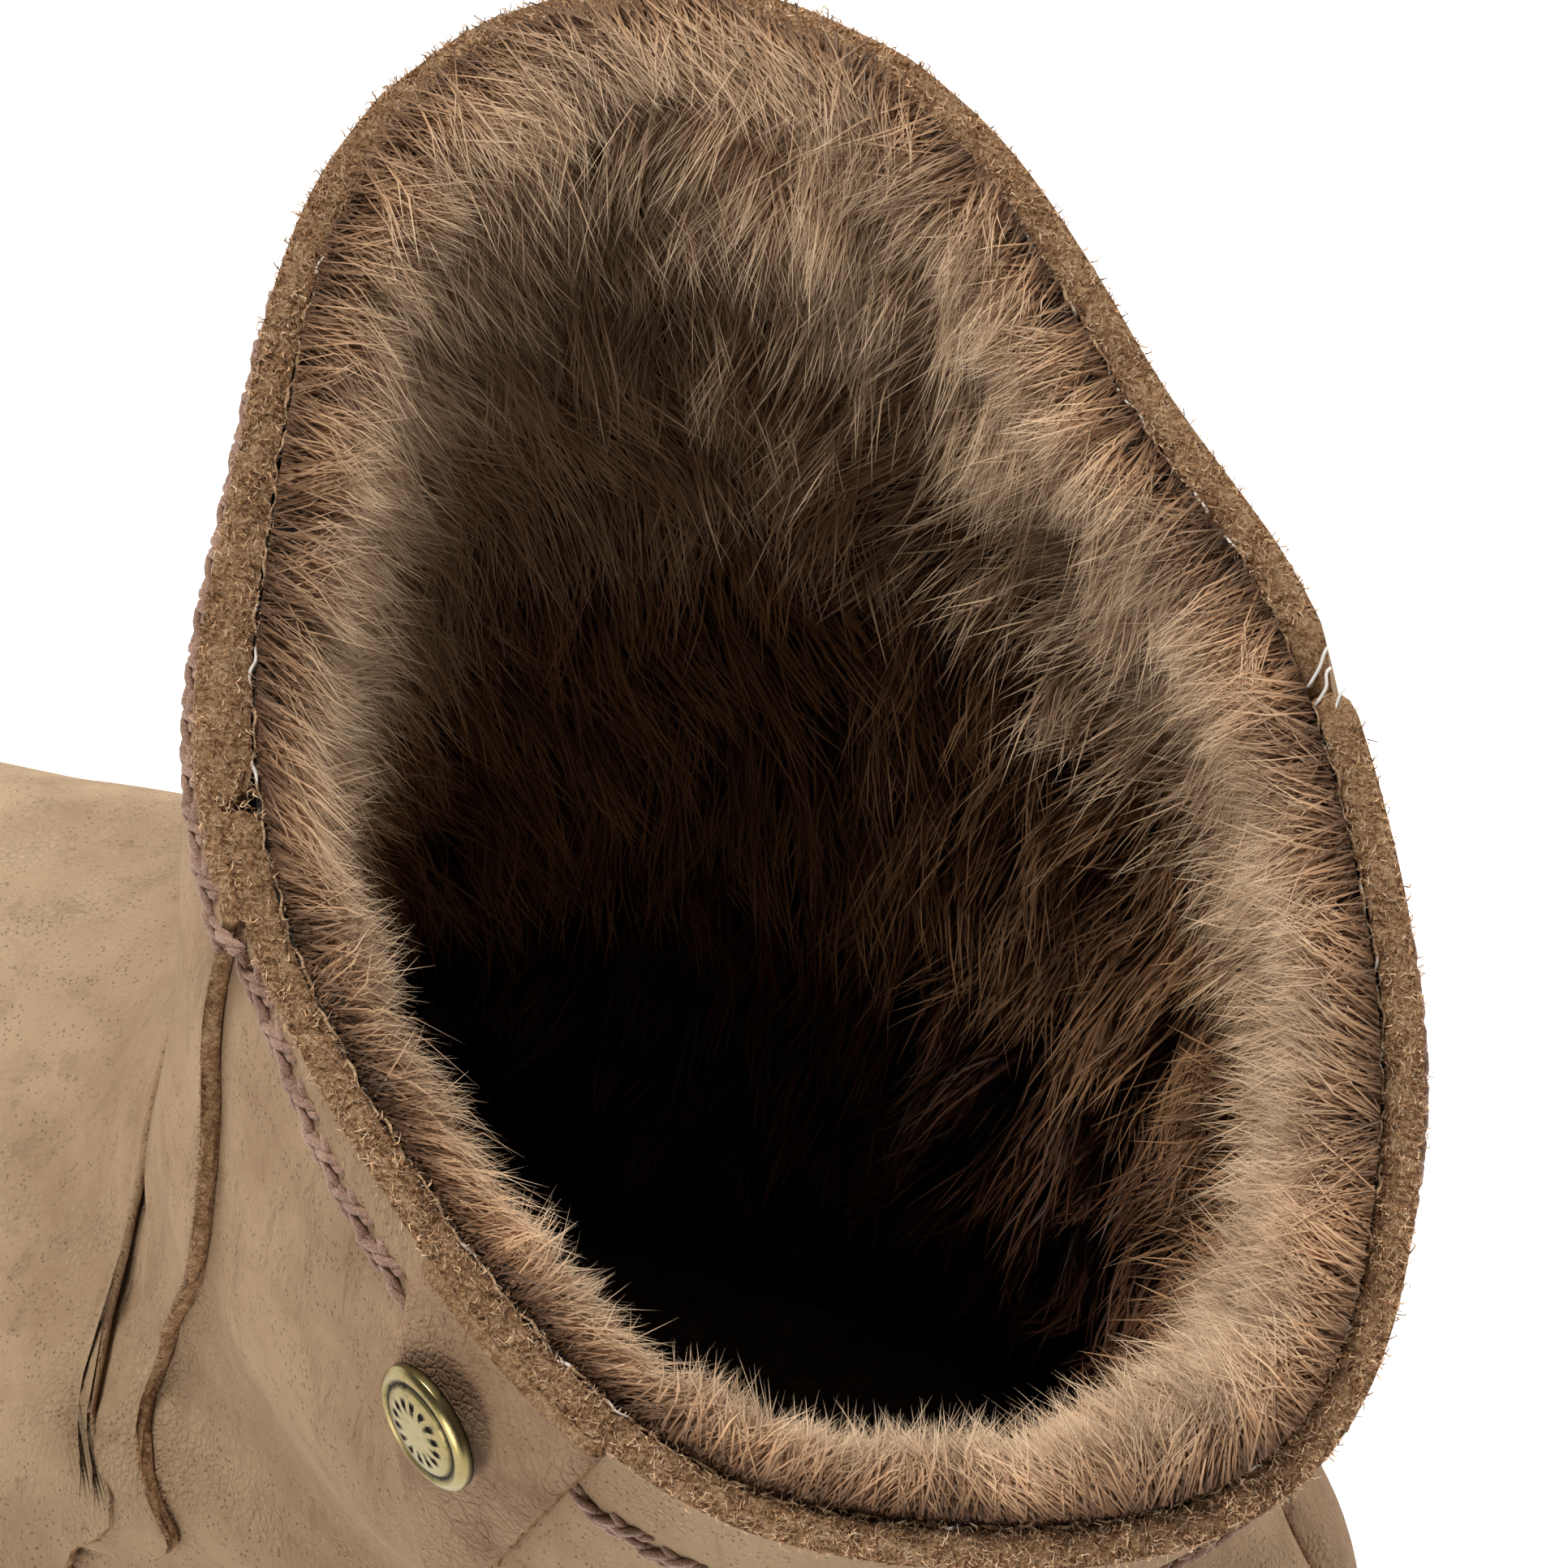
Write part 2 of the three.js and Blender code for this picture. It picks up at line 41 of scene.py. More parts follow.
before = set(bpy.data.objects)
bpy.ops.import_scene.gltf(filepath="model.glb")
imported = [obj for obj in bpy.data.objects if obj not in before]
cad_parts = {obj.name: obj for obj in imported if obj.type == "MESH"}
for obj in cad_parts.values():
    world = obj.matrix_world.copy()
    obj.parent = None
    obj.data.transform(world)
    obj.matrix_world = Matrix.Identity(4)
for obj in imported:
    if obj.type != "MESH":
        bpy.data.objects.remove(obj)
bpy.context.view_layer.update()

# Shape of the boot in millimetres, measured from the back of the heel. The outer form is the solids' own,
# and the tab and the front seam lie where the photograph has them.
FOOT_LENGTH = 252.0
BALL_WIDTH = 101.0
HEEL_WIDTH = 73.0
ARCH_DEPTH = 8.0
OUTER_WAIST_DEPTH = 3.0
TOE_SKEW = 8.0
HEEL_CURVE = 10.0
TOE_BOX_HEIGHT = 28.0
INSTEP_HEIGHT = 100.0
COLLAR_HEIGHT = 185.0
SHAFT_FRONT = 114.5
SHAFT_WIDTH = 98.0
COLLAR_CENTRE = (57.0, -1.4)
COLLAR_RADII = (73.2, 45.5)
COLLAR_TURN = math.radians(-53.2)
COLLAR_TILT = math.radians(9)
COLLAR_LOW_SIDE = math.radians(107)
HIDE = 3.2
LAP = 1.8
CLEAR = 0.3
VAMP_TOP_X = 109.0
VAMP_TOP_Z = 118.0
VAMP_FOOT_X = 152.0
VAMP_CURVE = 2.0
HEEL_THICKNESS = 24.0
FORE_THICKNESS = 15.0
TOE_SPRING = 9.0
ARCH_LIFT = 4.0
SOLE_GROW = 2.4
INSOLE_THICKNESS = 5.0
SPRING_START = 0.76
ARCH_SPAN = (0.3, 0.6)
TREAD_PITCH = 12.0
TREAD_GROOVE = 3.2
TREAD_DEPTH = 2.4
TAB_ANGLE = math.radians(35)
TAB_WIDTH = 21.0
TAB_LENGTH = 33.0
TAB_LEATHER = 2.8
BUTTON_DROP = 10.5
BUTTON_SHIFT = -3.5
BUTTON_RADIUS = 5.7

CAMERA_TARGET = (58.0, 0.0, 185.0)
CAMERA_AZIMUTH = math.radians(107)
CAMERA_ELEVATION = math.radians(60)
CAMERA_DISTANCE = 0.6
FOCAL_PIXELS = 9000
IMAGE_WIDTH = 1932
SENSOR_WIDTH = 36
LIT_POINT = (58.0, 0.0, 150.0)

SECTION_NAMES = (
    "back lean run toe vamp shaft heel ball inner outer "
    "leg square arch skew sag turn_front turn_back lap mouth"
).split()
SECTIONS = np.array([
    [0, 0.3, 0.02, 0, 0, 0, 0.93, 0.96, 1, 1, 0, 2.5, 1, 1, 1, 0, 0, 0, 0],
    [0.06, 0.05, 0, 0.36, 0, 0, 1, 1, 1, 1, 0, 2.45, 0.95, 1, 0.8, 0, 0, 0, 0],
    [0.12, 0, 0.018, 0.72, 0, 0, 1.02, 1, 1, 1, 0, 2.4, 0.9, 1, 0.55, 0, 0, 0, 0],
    [0.18, 0.15, 0.085, 1, 0, 0, 1, 0.97, 1, 1, 0, 2.3, 0.8, 1, 0.35, 2, 0, 0, 0],
    [0.235, 0.4, 0.205, 1, 0.11, 0, 0.98, 0.935, 1, 1, 0, 2.2, 0.7, 1, 0.2, 10, 0, 0, 0],
    [0.285, 0.7, 0.37, 1, 0.23, 0, 0.95, 0.89, 1, 1, 0, 2.15, 0.65, 0.85, 0.1, 23, 1, 0, 0],
    [0.335, 0.95, 0.546, 1, 0.37, 0, 0.93, 0.86, 1, 1, 0, 2.1, 0.55, 0.6, 0, 56, 3, 0, 0],
    [0.385, 1.05, 0.71, 1, 0.55, 0, 0.93, 0.86, 0.92, 0.95, 0.05, 2.1, 0.4, 0.3, 0, 66, 5, 0.8, 0],
    [0.438, 1, 0.844, 1, 0.76, 0, 0.94, 0.88, 0.88, 0.92, 0.25, 2.1, 0.1, 0.1, 0, 62, 8, 1, 0],
    [0.497, 0.85, 0.936, 1, 1, 0, 0.96, 0.88, 0.9, 0.94, 0.55, 2.05, 0, 0, 0, 42, 12, 1, 0],
    [0.59, 0.6, 0.995, 1, 1, 0.21, 1, 0.9, 0.94, 1.04, 0.85, 2, 0, 0, 0, 36, 18, 1, 0.05],
    [0.72, 0.35, 1.015, 1, 1, 0.47, 1, 0.9, 0.99, 1.19, 1, 2, 0, 0, 0, 37, 24, 1, 0.25],
    [0.863, 0.2, 1.025, 1, 1, 0.74, 1, 0.9, 1.02, 1.23, 1, 2, 0, 0, 0, 34, 28, 1, 0.58],
    [1, 0.15, 1, 1, 1, 1, 1, 0.9, 1.05, 1.2, 1, 2, 0, 0, 0, 34, 31.8, 1, 1],
])
TOP = len(SECTIONS) - 1.0

# Where the slack collar leaves its oval: degrees from the toe, share of the short radius, spread in degrees.
COLLAR_BULGES = (
    (-115, -0.068, 15), (-79, 0.058, 12), (-17, -0.058, 14), (33, 0.034, 18),
    (119, -0.092, 12), (144, 0.052, 10), (168, 0.026, 14),
)

# Outline of the tab from the collar down: share of its length, then of its half width to toe and heel.
TAB_ROWS = np.array([
    [0, 1, 1], [0.12, 1.04, 0.89], [0.24, 0.97, 0.78], [0.36, 0.91, 0.67], [0.48, 0.81, 0.56],
    [0.6, 0.7, 0.45], [0.73, 0.58, 0.33], [0.85, 0.43, 0.19], [0.95, 0.27, 0.03], [1, 0.16, -0.06],
])

# The stitches' drop below the collar's edge, in mm, at degrees round from the front seam.
STITCH_LINE = (
    (-180, 19), (-140, 14), (-90, 7), (-50, 3.6), (-20, 2.8), (-6, 1.9), (0, 1.6), (6, 2.2), (10, 3.5),
    (16, 5.7), (22, 6.5), (30, 7), (45, 9.4), (56, 11.8), (80, 15), (108, 17), (140, 19), (180, 19),
)

# Soft folds of the leather: degrees from the front seam, section, height in mm, spread round and up, slant.
CREASES = (
    (-8, 9.1, -1.6, 26, 0.28, 0.010), (4, 8.35, 1.3, 30, 0.26, 0.006), (-60, 8.9, -1.1, 24, 0.35, -0.012),
    (62, 9.2, -1.3, 22, 0.32, 0.016), (95, 8.6, 0.9, 26, 0.4, 0.010), (150, 8.3, -1.0, 24, 0.4, -0.006),
    (-135, 8.7, -1.0, 26, 0.4, 0.008), (58, 11.0, -0.7, 9, 1.1, 0.02), (-35, 11.4, -0.5, 10, 0.9, 0.01),
    (118, 11.6, -0.6, 12, 1.0, -0.015),
)


def smooth(value, low, high):
    t = np.clip((value - low) / (high - low), 0, 1)
    return t * t * (3 - 2 * t)


def mix(a, b, t):
    return a + (b - a) * t


def power(value, n):
    return np.sign(value) * np.abs(value) ** n


def wrap(angle):
    return (angle + math.pi) % (2 * math.pi) - math.pi


def unit(vectors):
    return vectors / np.maximum(np.linalg.norm(vectors, axis=-1, keepdims=True), 1e-9)


def spring(x):
    return TOE_SPRING * smooth(x / FOOT_LENGTH, SPRING_START, 1.02) ** 1.3


def sole_top(x):
    return mix(HEEL_THICKNESS, FORE_THICKNESS, smooth(x / FOOT_LENGTH, 0.2, 0.68)) + spring(x)


def sole_bottom(x):
    low, high = ARCH_SPAN
    share = np.clip((x / FOOT_LENGTH - low) / (high - low), 0, 1)
    return ARCH_LIFT * np.sin(share * math.pi) ** 2 + spring(x)


def section(v):
    """The table's columns at places between its rows, by a Catmull-Rom curve."""
    ends = (2 * SECTIONS[0] - SECTIONS[1], 2 * SECTIONS[-1] - SECTIONS[-2])
    rows = np.vstack([ends[0], SECTIONS, ends[1]])
    i = np.clip(np.floor(v).astype(int), 0, len(SECTIONS) - 2)
    t = (v - i)[..., None]
    a, b, c, d = (rows[i + n] for n in range(4))
    at = b + 0.5 * t * (c - a + t * (2 * a - 5 * b + 4 * c - d + t * (3 * (b - c) + d - a)))
    return {name: at[..., n] for n, name in enumerate(SECTION_NAMES)}


def collar_point(angle):
    along = COLLAR_RADII[0] * np.cos(angle - COLLAR_TURN)
    across = COLLAR_RADII[1] * np.sin(angle - COLLAR_TURN)
    x = along * math.cos(COLLAR_TURN) - across * math.sin(COLLAR_TURN)
    y = along * math.sin(COLLAR_TURN) + across * math.cos(COLLAR_TURN)
    place = np.arctan2(y, x)
    out = np.zeros_like(place)
    for at, share, spread in COLLAR_BULGES:
        off = wrap(place - math.radians(at)) / math.radians(spread)
        out = out + share * COLLAR_RADII[1] * np.exp(-0.5 * off * off)
    return COLLAR_CENTRE[0] + x + out * np.cos(place), COLLAR_CENTRE[1] + y + out * np.sin(place)


def skin(v, angle):
    """Points of the outside of the boot. v runs up the sections and angle goes round from the front seam."""
    v, angle = np.broadcast_arrays(np.asarray(v, float), np.asarray(angle, float))
    s = section(v)
    turned = angle + np.radians(mix(s["turn_front"], s["turn_back"], (1 - np.cos(angle)) / 2))
    share = 0.5 + 0.5 * power(np.cos(turned), 2 / s["square"])
    side = power(np.sin(turned), 2 / s["square"])
    feather_front = float(sole_top(np.array(FOOT_LENGTH))) + CLEAR
    feather_back = HEEL_THICKNESS + CLEAR
    back_z = mix(feather_back, COLLAR_HEIGHT, s["back"])
    toe_top = feather_front + TOE_BOX_HEIGHT
    front_z = feather_front + TOE_BOX_HEIGHT * s["toe"] + (INSTEP_HEIGHT - toe_top) * s["vamp"]
    front_z = front_z + (COLLAR_HEIGHT - INSTEP_HEIGHT) * s["shaft"]
    x = mix(HEEL_CURVE * s["lean"], mix(FOOT_LENGTH, SHAFT_FRONT, s["run"]), share)
    foot_half = mix(HEEL_WIDTH * s["heel"], BALL_WIDTH * s["ball"], smooth(share, 0.05, 0.72)) / 2
    waist = np.exp(-(((share - 0.42) / 0.15) ** 2)) * s["arch"]
    waist_depth = np.where(side < 0, ARCH_DEPTH, OUTER_WAIST_DEPTH)
    shaft_half = SHAFT_WIDTH / 2 * np.where(side < 0, s["inner"], s["outer"])
    half = mix(foot_half - waist * waist_depth, shaft_half, s["leg"])
    shift = -TOE_SKEW * s["skew"] * smooth(share, 0.35, 1.1)
    sag = (sole_top(x) + CLEAR - mix(feather_back, feather_front, x / FOOT_LENGTH)) * s["sag"]
    mouth = s["mouth"]
    collar_x, collar_y = collar_point(turned)
    plan_x, plan_y = mix(x, collar_x, mouth), mix(shift + half * side, collar_y, mouth)
    along = (plan_x - COLLAR_CENTRE[0]) * math.cos(COLLAR_LOW_SIDE)
    along = along + (plan_y - COLLAR_CENTRE[1]) * math.sin(COLLAR_LOW_SIDE)
    z = mix(back_z, front_z, share) + sag - math.tan(COLLAR_TILT) * along * mouth
    return np.stack([plan_x, plan_y, z], axis=-1)


def outward(v, angle):
    v, angle = np.broadcast_arrays(np.asarray(v, float), np.asarray(angle, float))
    step = 0.02
    up = skin(np.minimum(v + step, TOP), angle) - skin(np.maximum(v - step, 0), angle)
    return unit(np.cross(skin(v, angle + step) - skin(v, angle - step), up))


def folds(v, angle):
    """How far the leather's soft folds lie in or out, in millimetres."""
    total = np.zeros(np.broadcast(v, angle).shape)
    for at, section_at, height, around, up, slant in CREASES:
        off = np.degrees(wrap(angle - math.radians(at)))
        rise = v - section_at - slant * off
        total = total + height * np.exp(-0.5 * ((off / around) ** 2 + (rise / up) ** 2))
    return total * smooth(TOP - v, 0.1, 1.2)


def surface(v, angle, out):
    v, angle = np.broadcast_arrays(np.asarray(v, float), np.asarray(angle, float))
    return skin(v, angle) + outward(v, angle) * (np.asarray(out, float) + folds(v, angle))[..., None]


def heel_offset():
    """From the back of the heel to the part's own origin, in millimetres."""
    angle = np.linspace(0, 2 * math.pi, 56, endpoint=False)
    flat = outward(0.0, angle) * (1, 1, 0)
    edge = skin(0.0, angle) + unit(flat) * SOLE_GROW
    low = np.array(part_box("outsole")[0]) * 1000
    return np.array([low[0] - edge[:, 0].min(), low[1] - edge[:, 1].min(), 0.0])


OFFSET = heel_offset()


def metres(points):
    return (np.asarray(points) + OFFSET) * 0.001


def noise_field(points, scale, seed):
    """Smooth values from -1 to 1 over points, from a few waves in random directions."""
    dice = np.random.default_rng(seed)
    total = np.zeros(points.shape[:-1])
    for _ in range(14):
        direction = unit(dice.normal(size=3)) * dice.uniform(0.6, 1.7) / scale
        total = total + np.sin(points @ direction * 2 * math.pi + dice.uniform(0, 2 * math.pi))
    return total / 5.3


def eye(red, green, blue):
    """A colour as seen on screen, from 0 to 255, as the shader's linear colour."""
    linear = [(c / 255 / 12.92) if c < 11 else ((c / 255 + 0.055) / 1.055) ** 2.4 for c in (red, green, blue)]
    return (*linear, 1.0)


class Value:
    """A socket of a finish, with the arithmetic of the shader's Math node."""

    def __init__(self, finish, socket):
        self.finish = finish
        self.socket = socket

    def maths(self, operation, *others, clamp=False):
        settings = {"operation": operation, "use_clamp": clamp}
        return self.finish.node("ShaderNodeMath", settings, dict(enumerate([self, *others])))

    def __add__(self, other):
        return self.maths("ADD", other)

    def __radd__(self, other):
        return self.maths("ADD", other)

    def __sub__(self, other):
        return self.maths("SUBTRACT", other)

    def __rsub__(self, other):
        settings = {"operation": "SUBTRACT"}
        return self.finish.node("ShaderNodeMath", settings, {0: other, 1: self})

    def __mul__(self, other):
        return self.maths("MULTIPLY", other)

    def __rmul__(self, other):
        return self.maths("MULTIPLY", other)

    def __pow__(self, other):
        return self.maths("POWER", other)

    def __gt__(self, other):
        return self.maths("GREATER_THAN", other)

    def ramp(self, low, high):
        """0 up to low, 1 from high, smooth between."""
        settings = {"interpolation_type": "SMOOTHSTEP"}
        values = {"Value": self, "From Min": low, "From Max": high}
        return self.finish.node("ShaderNodeMapRange", settings, values)


class Finish:
    """One material and the nodes that it is made of."""

    def __init__(self, name, **constants):
        self.material = bpy.data.materials.new(name)
        self.material.use_nodes = True
        self.tree = self.material.node_tree
        self.shader = self.tree.nodes["Principled BSDF"]
        self.place = self.node("ShaderNodeTexCoord", {}, {}, "Object")
        for socket, value in constants.items():
            self.shader.inputs[socket.replace("_", " ")].default_value = value

    def node(self, kind, settings, sockets, output=0):
        made = self.tree.nodes.new(kind)
        for name, value in settings.items():
            if name == "stops":
                ramp = made.color_ramp
                while len(ramp.elements) < len(value):
                    ramp.elements.new(0.5)
                for element, (position, colour) in zip(ramp.elements, value):
                    element.position = position
                    element.color = colour
            else:
                setattr(made, name, value)
        for name, value in sockets.items():
            socket = made.inputs[name]
            if isinstance(value, Value):
                self.tree.links.new(value.socket, socket)
            else:
                socket.default_value = value
        return Value(self, made.outputs[output])

    def attribute(self, name):
        return self.node("ShaderNodeAttribute", {"attribute_name": name}, {}, "Fac")

    def stretched(self, scale, turn=(0, 0, 0)):
        return self.node("ShaderNodeMapping", {}, {"Vector": self.place, "Scale": scale, "Rotation": turn})

    def noise(self, scale, detail=3.0, rough=0.55, vector=None):
        sockets = {"Vector": vector or self.place, "Scale": scale, "Detail": detail, "Roughness": rough}
        return self.node("ShaderNodeTexNoise", {}, sockets)

    def cells(self, scale, feature="F1", vector=None, output="Distance"):
        sockets = {"Vector": vector or self.place, "Scale": scale}
        return self.node("ShaderNodeTexVoronoi", {"feature": feature}, sockets, output)

    def blend(self, factor, low, high, kind="MIX"):
        settings = {"data_type": "RGBA", "blend_type": kind, "clamp_factor": True}
        return self.node("ShaderNodeMix", settings, {0: factor, 6: low, 7: high}, 2)

    def colours(self, factor, stops):
        return self.node("ShaderNodeValToRGB", {"stops": stops}, {"Fac": factor})

    def bump(self, height, depth, strength=1.0, normal=None):
        sockets = {"Height": height, "Distance": depth, "Strength": strength}
        if normal:
            sockets["Normal"] = normal
        return self.node("ShaderNodeBump", {}, sockets)

    def wear(self, **links):
        """Links what varies over the surface to the shader's sockets."""
        for socket, value in links.items():
            self.tree.links.new(value.socket, self.shader.inputs[socket.replace("_", " ")])
        return self.material


def nubuck_finish(look):
    tint = {"Sheen_Weight": 0.12, "Sheen_Roughness": 0.5, "Sheen_Tint": eye(214, 186, 152)}
    finish = Finish("nubuck", Specular_IOR_Level=0.15, **tint)
    light, dark = (*look.nubuck_light, 1), (*look.nubuck_dark, 1)
    cloud = finish.noise(26, 4, 0.6)
    patch = finish.noise(95, 5, 0.65)
    nap = finish.noise(900, 3, 0.6, finish.stretched((1, 1, 0.16)))
    grain = finish.noise(3600, 3, 0.65)
    stretch = finish.noise(240, 4, 0.7, finish.stretched((1, 1, 0.12), (0.1, 0.16, 0)))
    bent = finish.noise(700, 3, 0.6) * 0.0012
    place = finish.stretched((1.25, 1.25, 0.8))
    moved = finish.node("ShaderNodeVectorMath", {"operation": "ADD"}, {0: place, 1: bent})
    cracks = 1 - finish.cells(980, "DISTANCE_TO_EDGE", moved).ramp(0.0, 0.3)
    cobble = cracks * finish.noise(42, 3, 0.5).ramp(0.44, 0.62) * patch.ramp(0.3, 0.6)
    pores = 1 - finish.cells(1500, "F1", finish.stretched((1.2, 1.2, 0.75))).ramp(0.1, 0.3)
    spots = pores * finish.noise(300, 3).ramp(0.4, 0.62)
    lines = stretch.ramp(0.54, 0.66)
    tone = cloud * 0.55 + patch * 0.45
    colour = finish.blend(tone.ramp(0.36, 0.64), dark, light)
    # The front of the upper towards the toe is blended to a lighter colour: painted light where the
    # top-facing toe and vamp catch light from above.
    toe = finish.node("ShaderNodeSeparateXYZ", {}, {0: finish.place}).ramp(-0.02, 0.03)
    colour = finish.blend(toe * tone.ramp(0.2, 0.6) * 0.75, colour, eye(206, 178, 144))
    colour = finish.blend(nap.ramp(0.35, 0.75) * 0.2, colour, eye(178, 150, 118))
    colour = finish.blend(lines * 0.2, colour, eye(100, 76, 54))
    colour = finish.blend(cobble * 0.16, colour, eye(90, 66, 46))
    colour = finish.blend(spots * 0.5, colour, eye(72, 52, 36))
    height = grain * 0.4 + nap * 0.4 + patch * 0.7 - spots * 0.9 - lines * 0.4 - cobble * 0.5
    normal = finish.bump(height, 0.0007, 0.6)
    return finish.wear(Base_Color=colour, Roughness=0.84 + grain * 0.14, Normal=normal)


def raw_edge_finish():
    tint = eye(190, 150, 110)
    finish = Finish("raw_suede_edge", Sheen_Weight=0.1, Sheen_Tint=tint, Specular_IOR_Level=0.05)
    fibres = finish.noise(2600, 4, 0.75)
    tufts = finish.noise(700, 4, 0.7)
    tone = fibres * 0.6 + tufts * 0.4
    stops = (
        (0.34, eye(98, 66, 43)), (0.46, eye(160, 119, 84)),
        (0.56, eye(206, 166, 124)), (0.7, eye(244, 216, 180)),
    )
    colour = finish.colours(tone, stops)
    normal = finish.bump(tone, 0.0012, 1.0)
    return finish.wear(Base_Color=colour, Roughness=0.9 + fibres * 0.08, Normal=normal)


def fur_finish(name, root, middle, tip):
    finish = Finish(name, Sheen_Weight=0.15, Sheen_Roughness=0.4, Specular_IOR_Level=0.3)
    along = finish.attribute("along")
    tone = finish.attribute("tone")
    colour = finish.colours(along, ((0.0, root), (0.4, middle), (1.0, tip)))
    patch = finish.noise(60, 3, 0.6)
    colour = finish.blend(patch.ramp(0.4, 0.7) * 0.35, colour, middle)
    shade = finish.blend(tone, (0.42, 0.37, 0.33, 1), (1.25, 1.22, 1.18, 1))
    colour = finish.blend(1.0, colour, shade, "MULTIPLY")
    return finish.wear(Base_Color=colour, Roughness=0.5 + tone * 0.2)


def painted_shade_fleece_finish():
    finish = Finish("fleece_ground_painted_shade", Sheen_Weight=0.2, Sheen_Roughness=0.6, Specular_IOR_Level=0.1)
    tufts = finish.noise(260, 5, 0.7)
    strands = finish.noise(1500, 4, 0.7, finish.stretched((1, 1, 0.2)))
    tone = tufts * 0.6 + strands * 0.4
    # Near black to dark brown: painted shade at the foot of the fur, where little light reaches.
    stops = ((0.35, eye(22, 13, 8)), (0.55, eye(54, 38, 24)), (0.72, eye(90, 68, 46)))
    colour = finish.colours(tone, stops)
    return finish.wear(Base_Color=colour, Normal=finish.bump(tone, 0.002, 0.9), Roughness=0.85 + tone * 0.1)


def insole_finish():
    finish = Finish("short_fleece", Sheen_Weight=0.2, Sheen_Roughness=0.6, Specular_IOR_Level=0.1)
    tufts = finish.noise(330, 5, 0.75)
    stops = ((0.35, eye(92, 70, 48)), (0.55, eye(140, 115, 86)), (0.75, eye(176, 152, 120)))
    colour = finish.colours(tufts, stops)
    return finish.wear(Base_Color=colour, Normal=finish.bump(tufts, 0.002, 0.8), Roughness=0.85 + tufts * 0.1)


def thread_finish(look):
    finish = Finish("waxed_thread", Sheen_Weight=0.15, Specular_IOR_Level=0.3)
    fibres = finish.noise(5200, 3, 0.6)
    soil = finish.noise(300, 3, 0.6)
    tone = fibres * 0.6 + soil * 0.4
    base = (*look.thread_colour, 1)
    colour = finish.blend(tone.ramp(0.35, 0.7), eye(126, 92, 72), base)
    normal = finish.bump(fibres, 0.0002, 0.8)
    return finish.wear(Base_Color=colour, Roughness=0.6 + soil * 0.25, Normal=normal)


def edge_thread_finish():
    finish = Finish("edge_thread", Specular_IOR_Level=0.2)
    fibres = finish.noise(3600, 3, 0.6)
    bits = finish.noise(330, 2, 0.5).ramp(0.6, 0.64)
    colour = finish.blend(fibres.ramp(0.35, 0.65), eye(140, 104, 72), eye(206, 174, 136))
    colour = finish.blend(bits, colour, eye(236, 226, 212))
    return finish.wear(Base_Color=colour, Roughness=0.7 + fibres * 0.2)


def tab_finish(look):
    finish = Finish("pebbled_leather", Specular_IOR_Level=0.2)
    bent = finish.noise(150, 3, 0.5) * 0.006
    moved = finish.node("ShaderNodeVectorMath", {"operation": "ADD"}, {0: finish.place, 1: bent})
    cracks = 1 - finish.cells(330, "DISTANCE_TO_EDGE", moved).ramp(0.0, 0.09)
    pebbles = 1 - finish.cells(980, "DISTANCE_TO_EDGE", moved).ramp(0.0, 0.2)
    fine = finish.noise(3800, 3, 0.6)
    cloud = finish.noise(120, 3, 0.6)
    worn = finish.noise(70, 3, 0.6).ramp(0.42, 0.6)
    pores = (1 - finish.cells(1500).ramp(0.08, 0.26)) * finish.noise(420, 2).ramp(0.4, 0.6)
    base = (*look.tab_colour, 1)
    colour = finish.blend(cloud.ramp(0.35, 0.65), eye(134, 102, 76), base)
    colour = finish.blend(cracks * worn * 0.2, colour, eye(96, 66, 46))
    colour = finish.blend(pebbles * 0.1, colour, eye(96, 66, 46))
    colour = finish.blend(pores * 0.45, colour, eye(78, 54, 38))
    height = fine * 0.3 - cracks * worn * 0.3 - pebbles * 0.2 - pores * 0.5
    normal = finish.bump(height, 0.0006, 0.7)
    return finish.wear(Base_Color=colour, Roughness=0.66 + fine * 0.2, Normal=normal)


def brass_finish(look):
    finish = Finish("antique_brass", Metallic=1.0)
    recess = finish.attribute("recess")
    scuff = finish.noise(900, 4, 0.7)
    fine = finish.noise(5200, 2, 0.5)
    tarnish = (recess + scuff.ramp(0.52, 0.7) * 0.35).maths("MINIMUM", 1.0)
    colour = finish.blend(tarnish, (*look.brass_colour, 1), eye(34, 29, 21))
    return finish.wear(Base_Color=colour, Roughness=0.24 + tarnish * 0.4 + fine * 0.08)


def rubber_finish(look):
    finish = Finish("light_rubber", Specular_IOR_Level=0.35)
    cloud = finish.noise(40, 4, 0.6)
    speck = finish.noise(2600, 3, 0.7)
    scuff = finish.noise(300, 5, 0.75)
    colour = finish.blend(cloud.ramp(0.35, 0.65), eye(128, 108, 86), (*look.sole_colour, 1))
    colour = finish.blend(scuff.ramp(0.6, 0.8) * 0.3, colour, eye(100, 84, 66))
    normal = finish.bump(speck * 0.6 + scuff * 0.4, 0.0003, 0.6)
    return finish.wear(Base_Color=colour, Roughness=0.7 + speck * 0.2, Normal=normal)


def floor_finish():
    """A white floor that glows as a lit studio sweep does, so that it stays white under soft light."""
    pale = (0.9, 0.9, 0.9, 1)
    sockets = {"Base_Color": pale, "Roughness": 0.9, "Emission_Color": pale, "Emission_Strength": 0.75}
    return Finish("pale_floor", **sockets).material


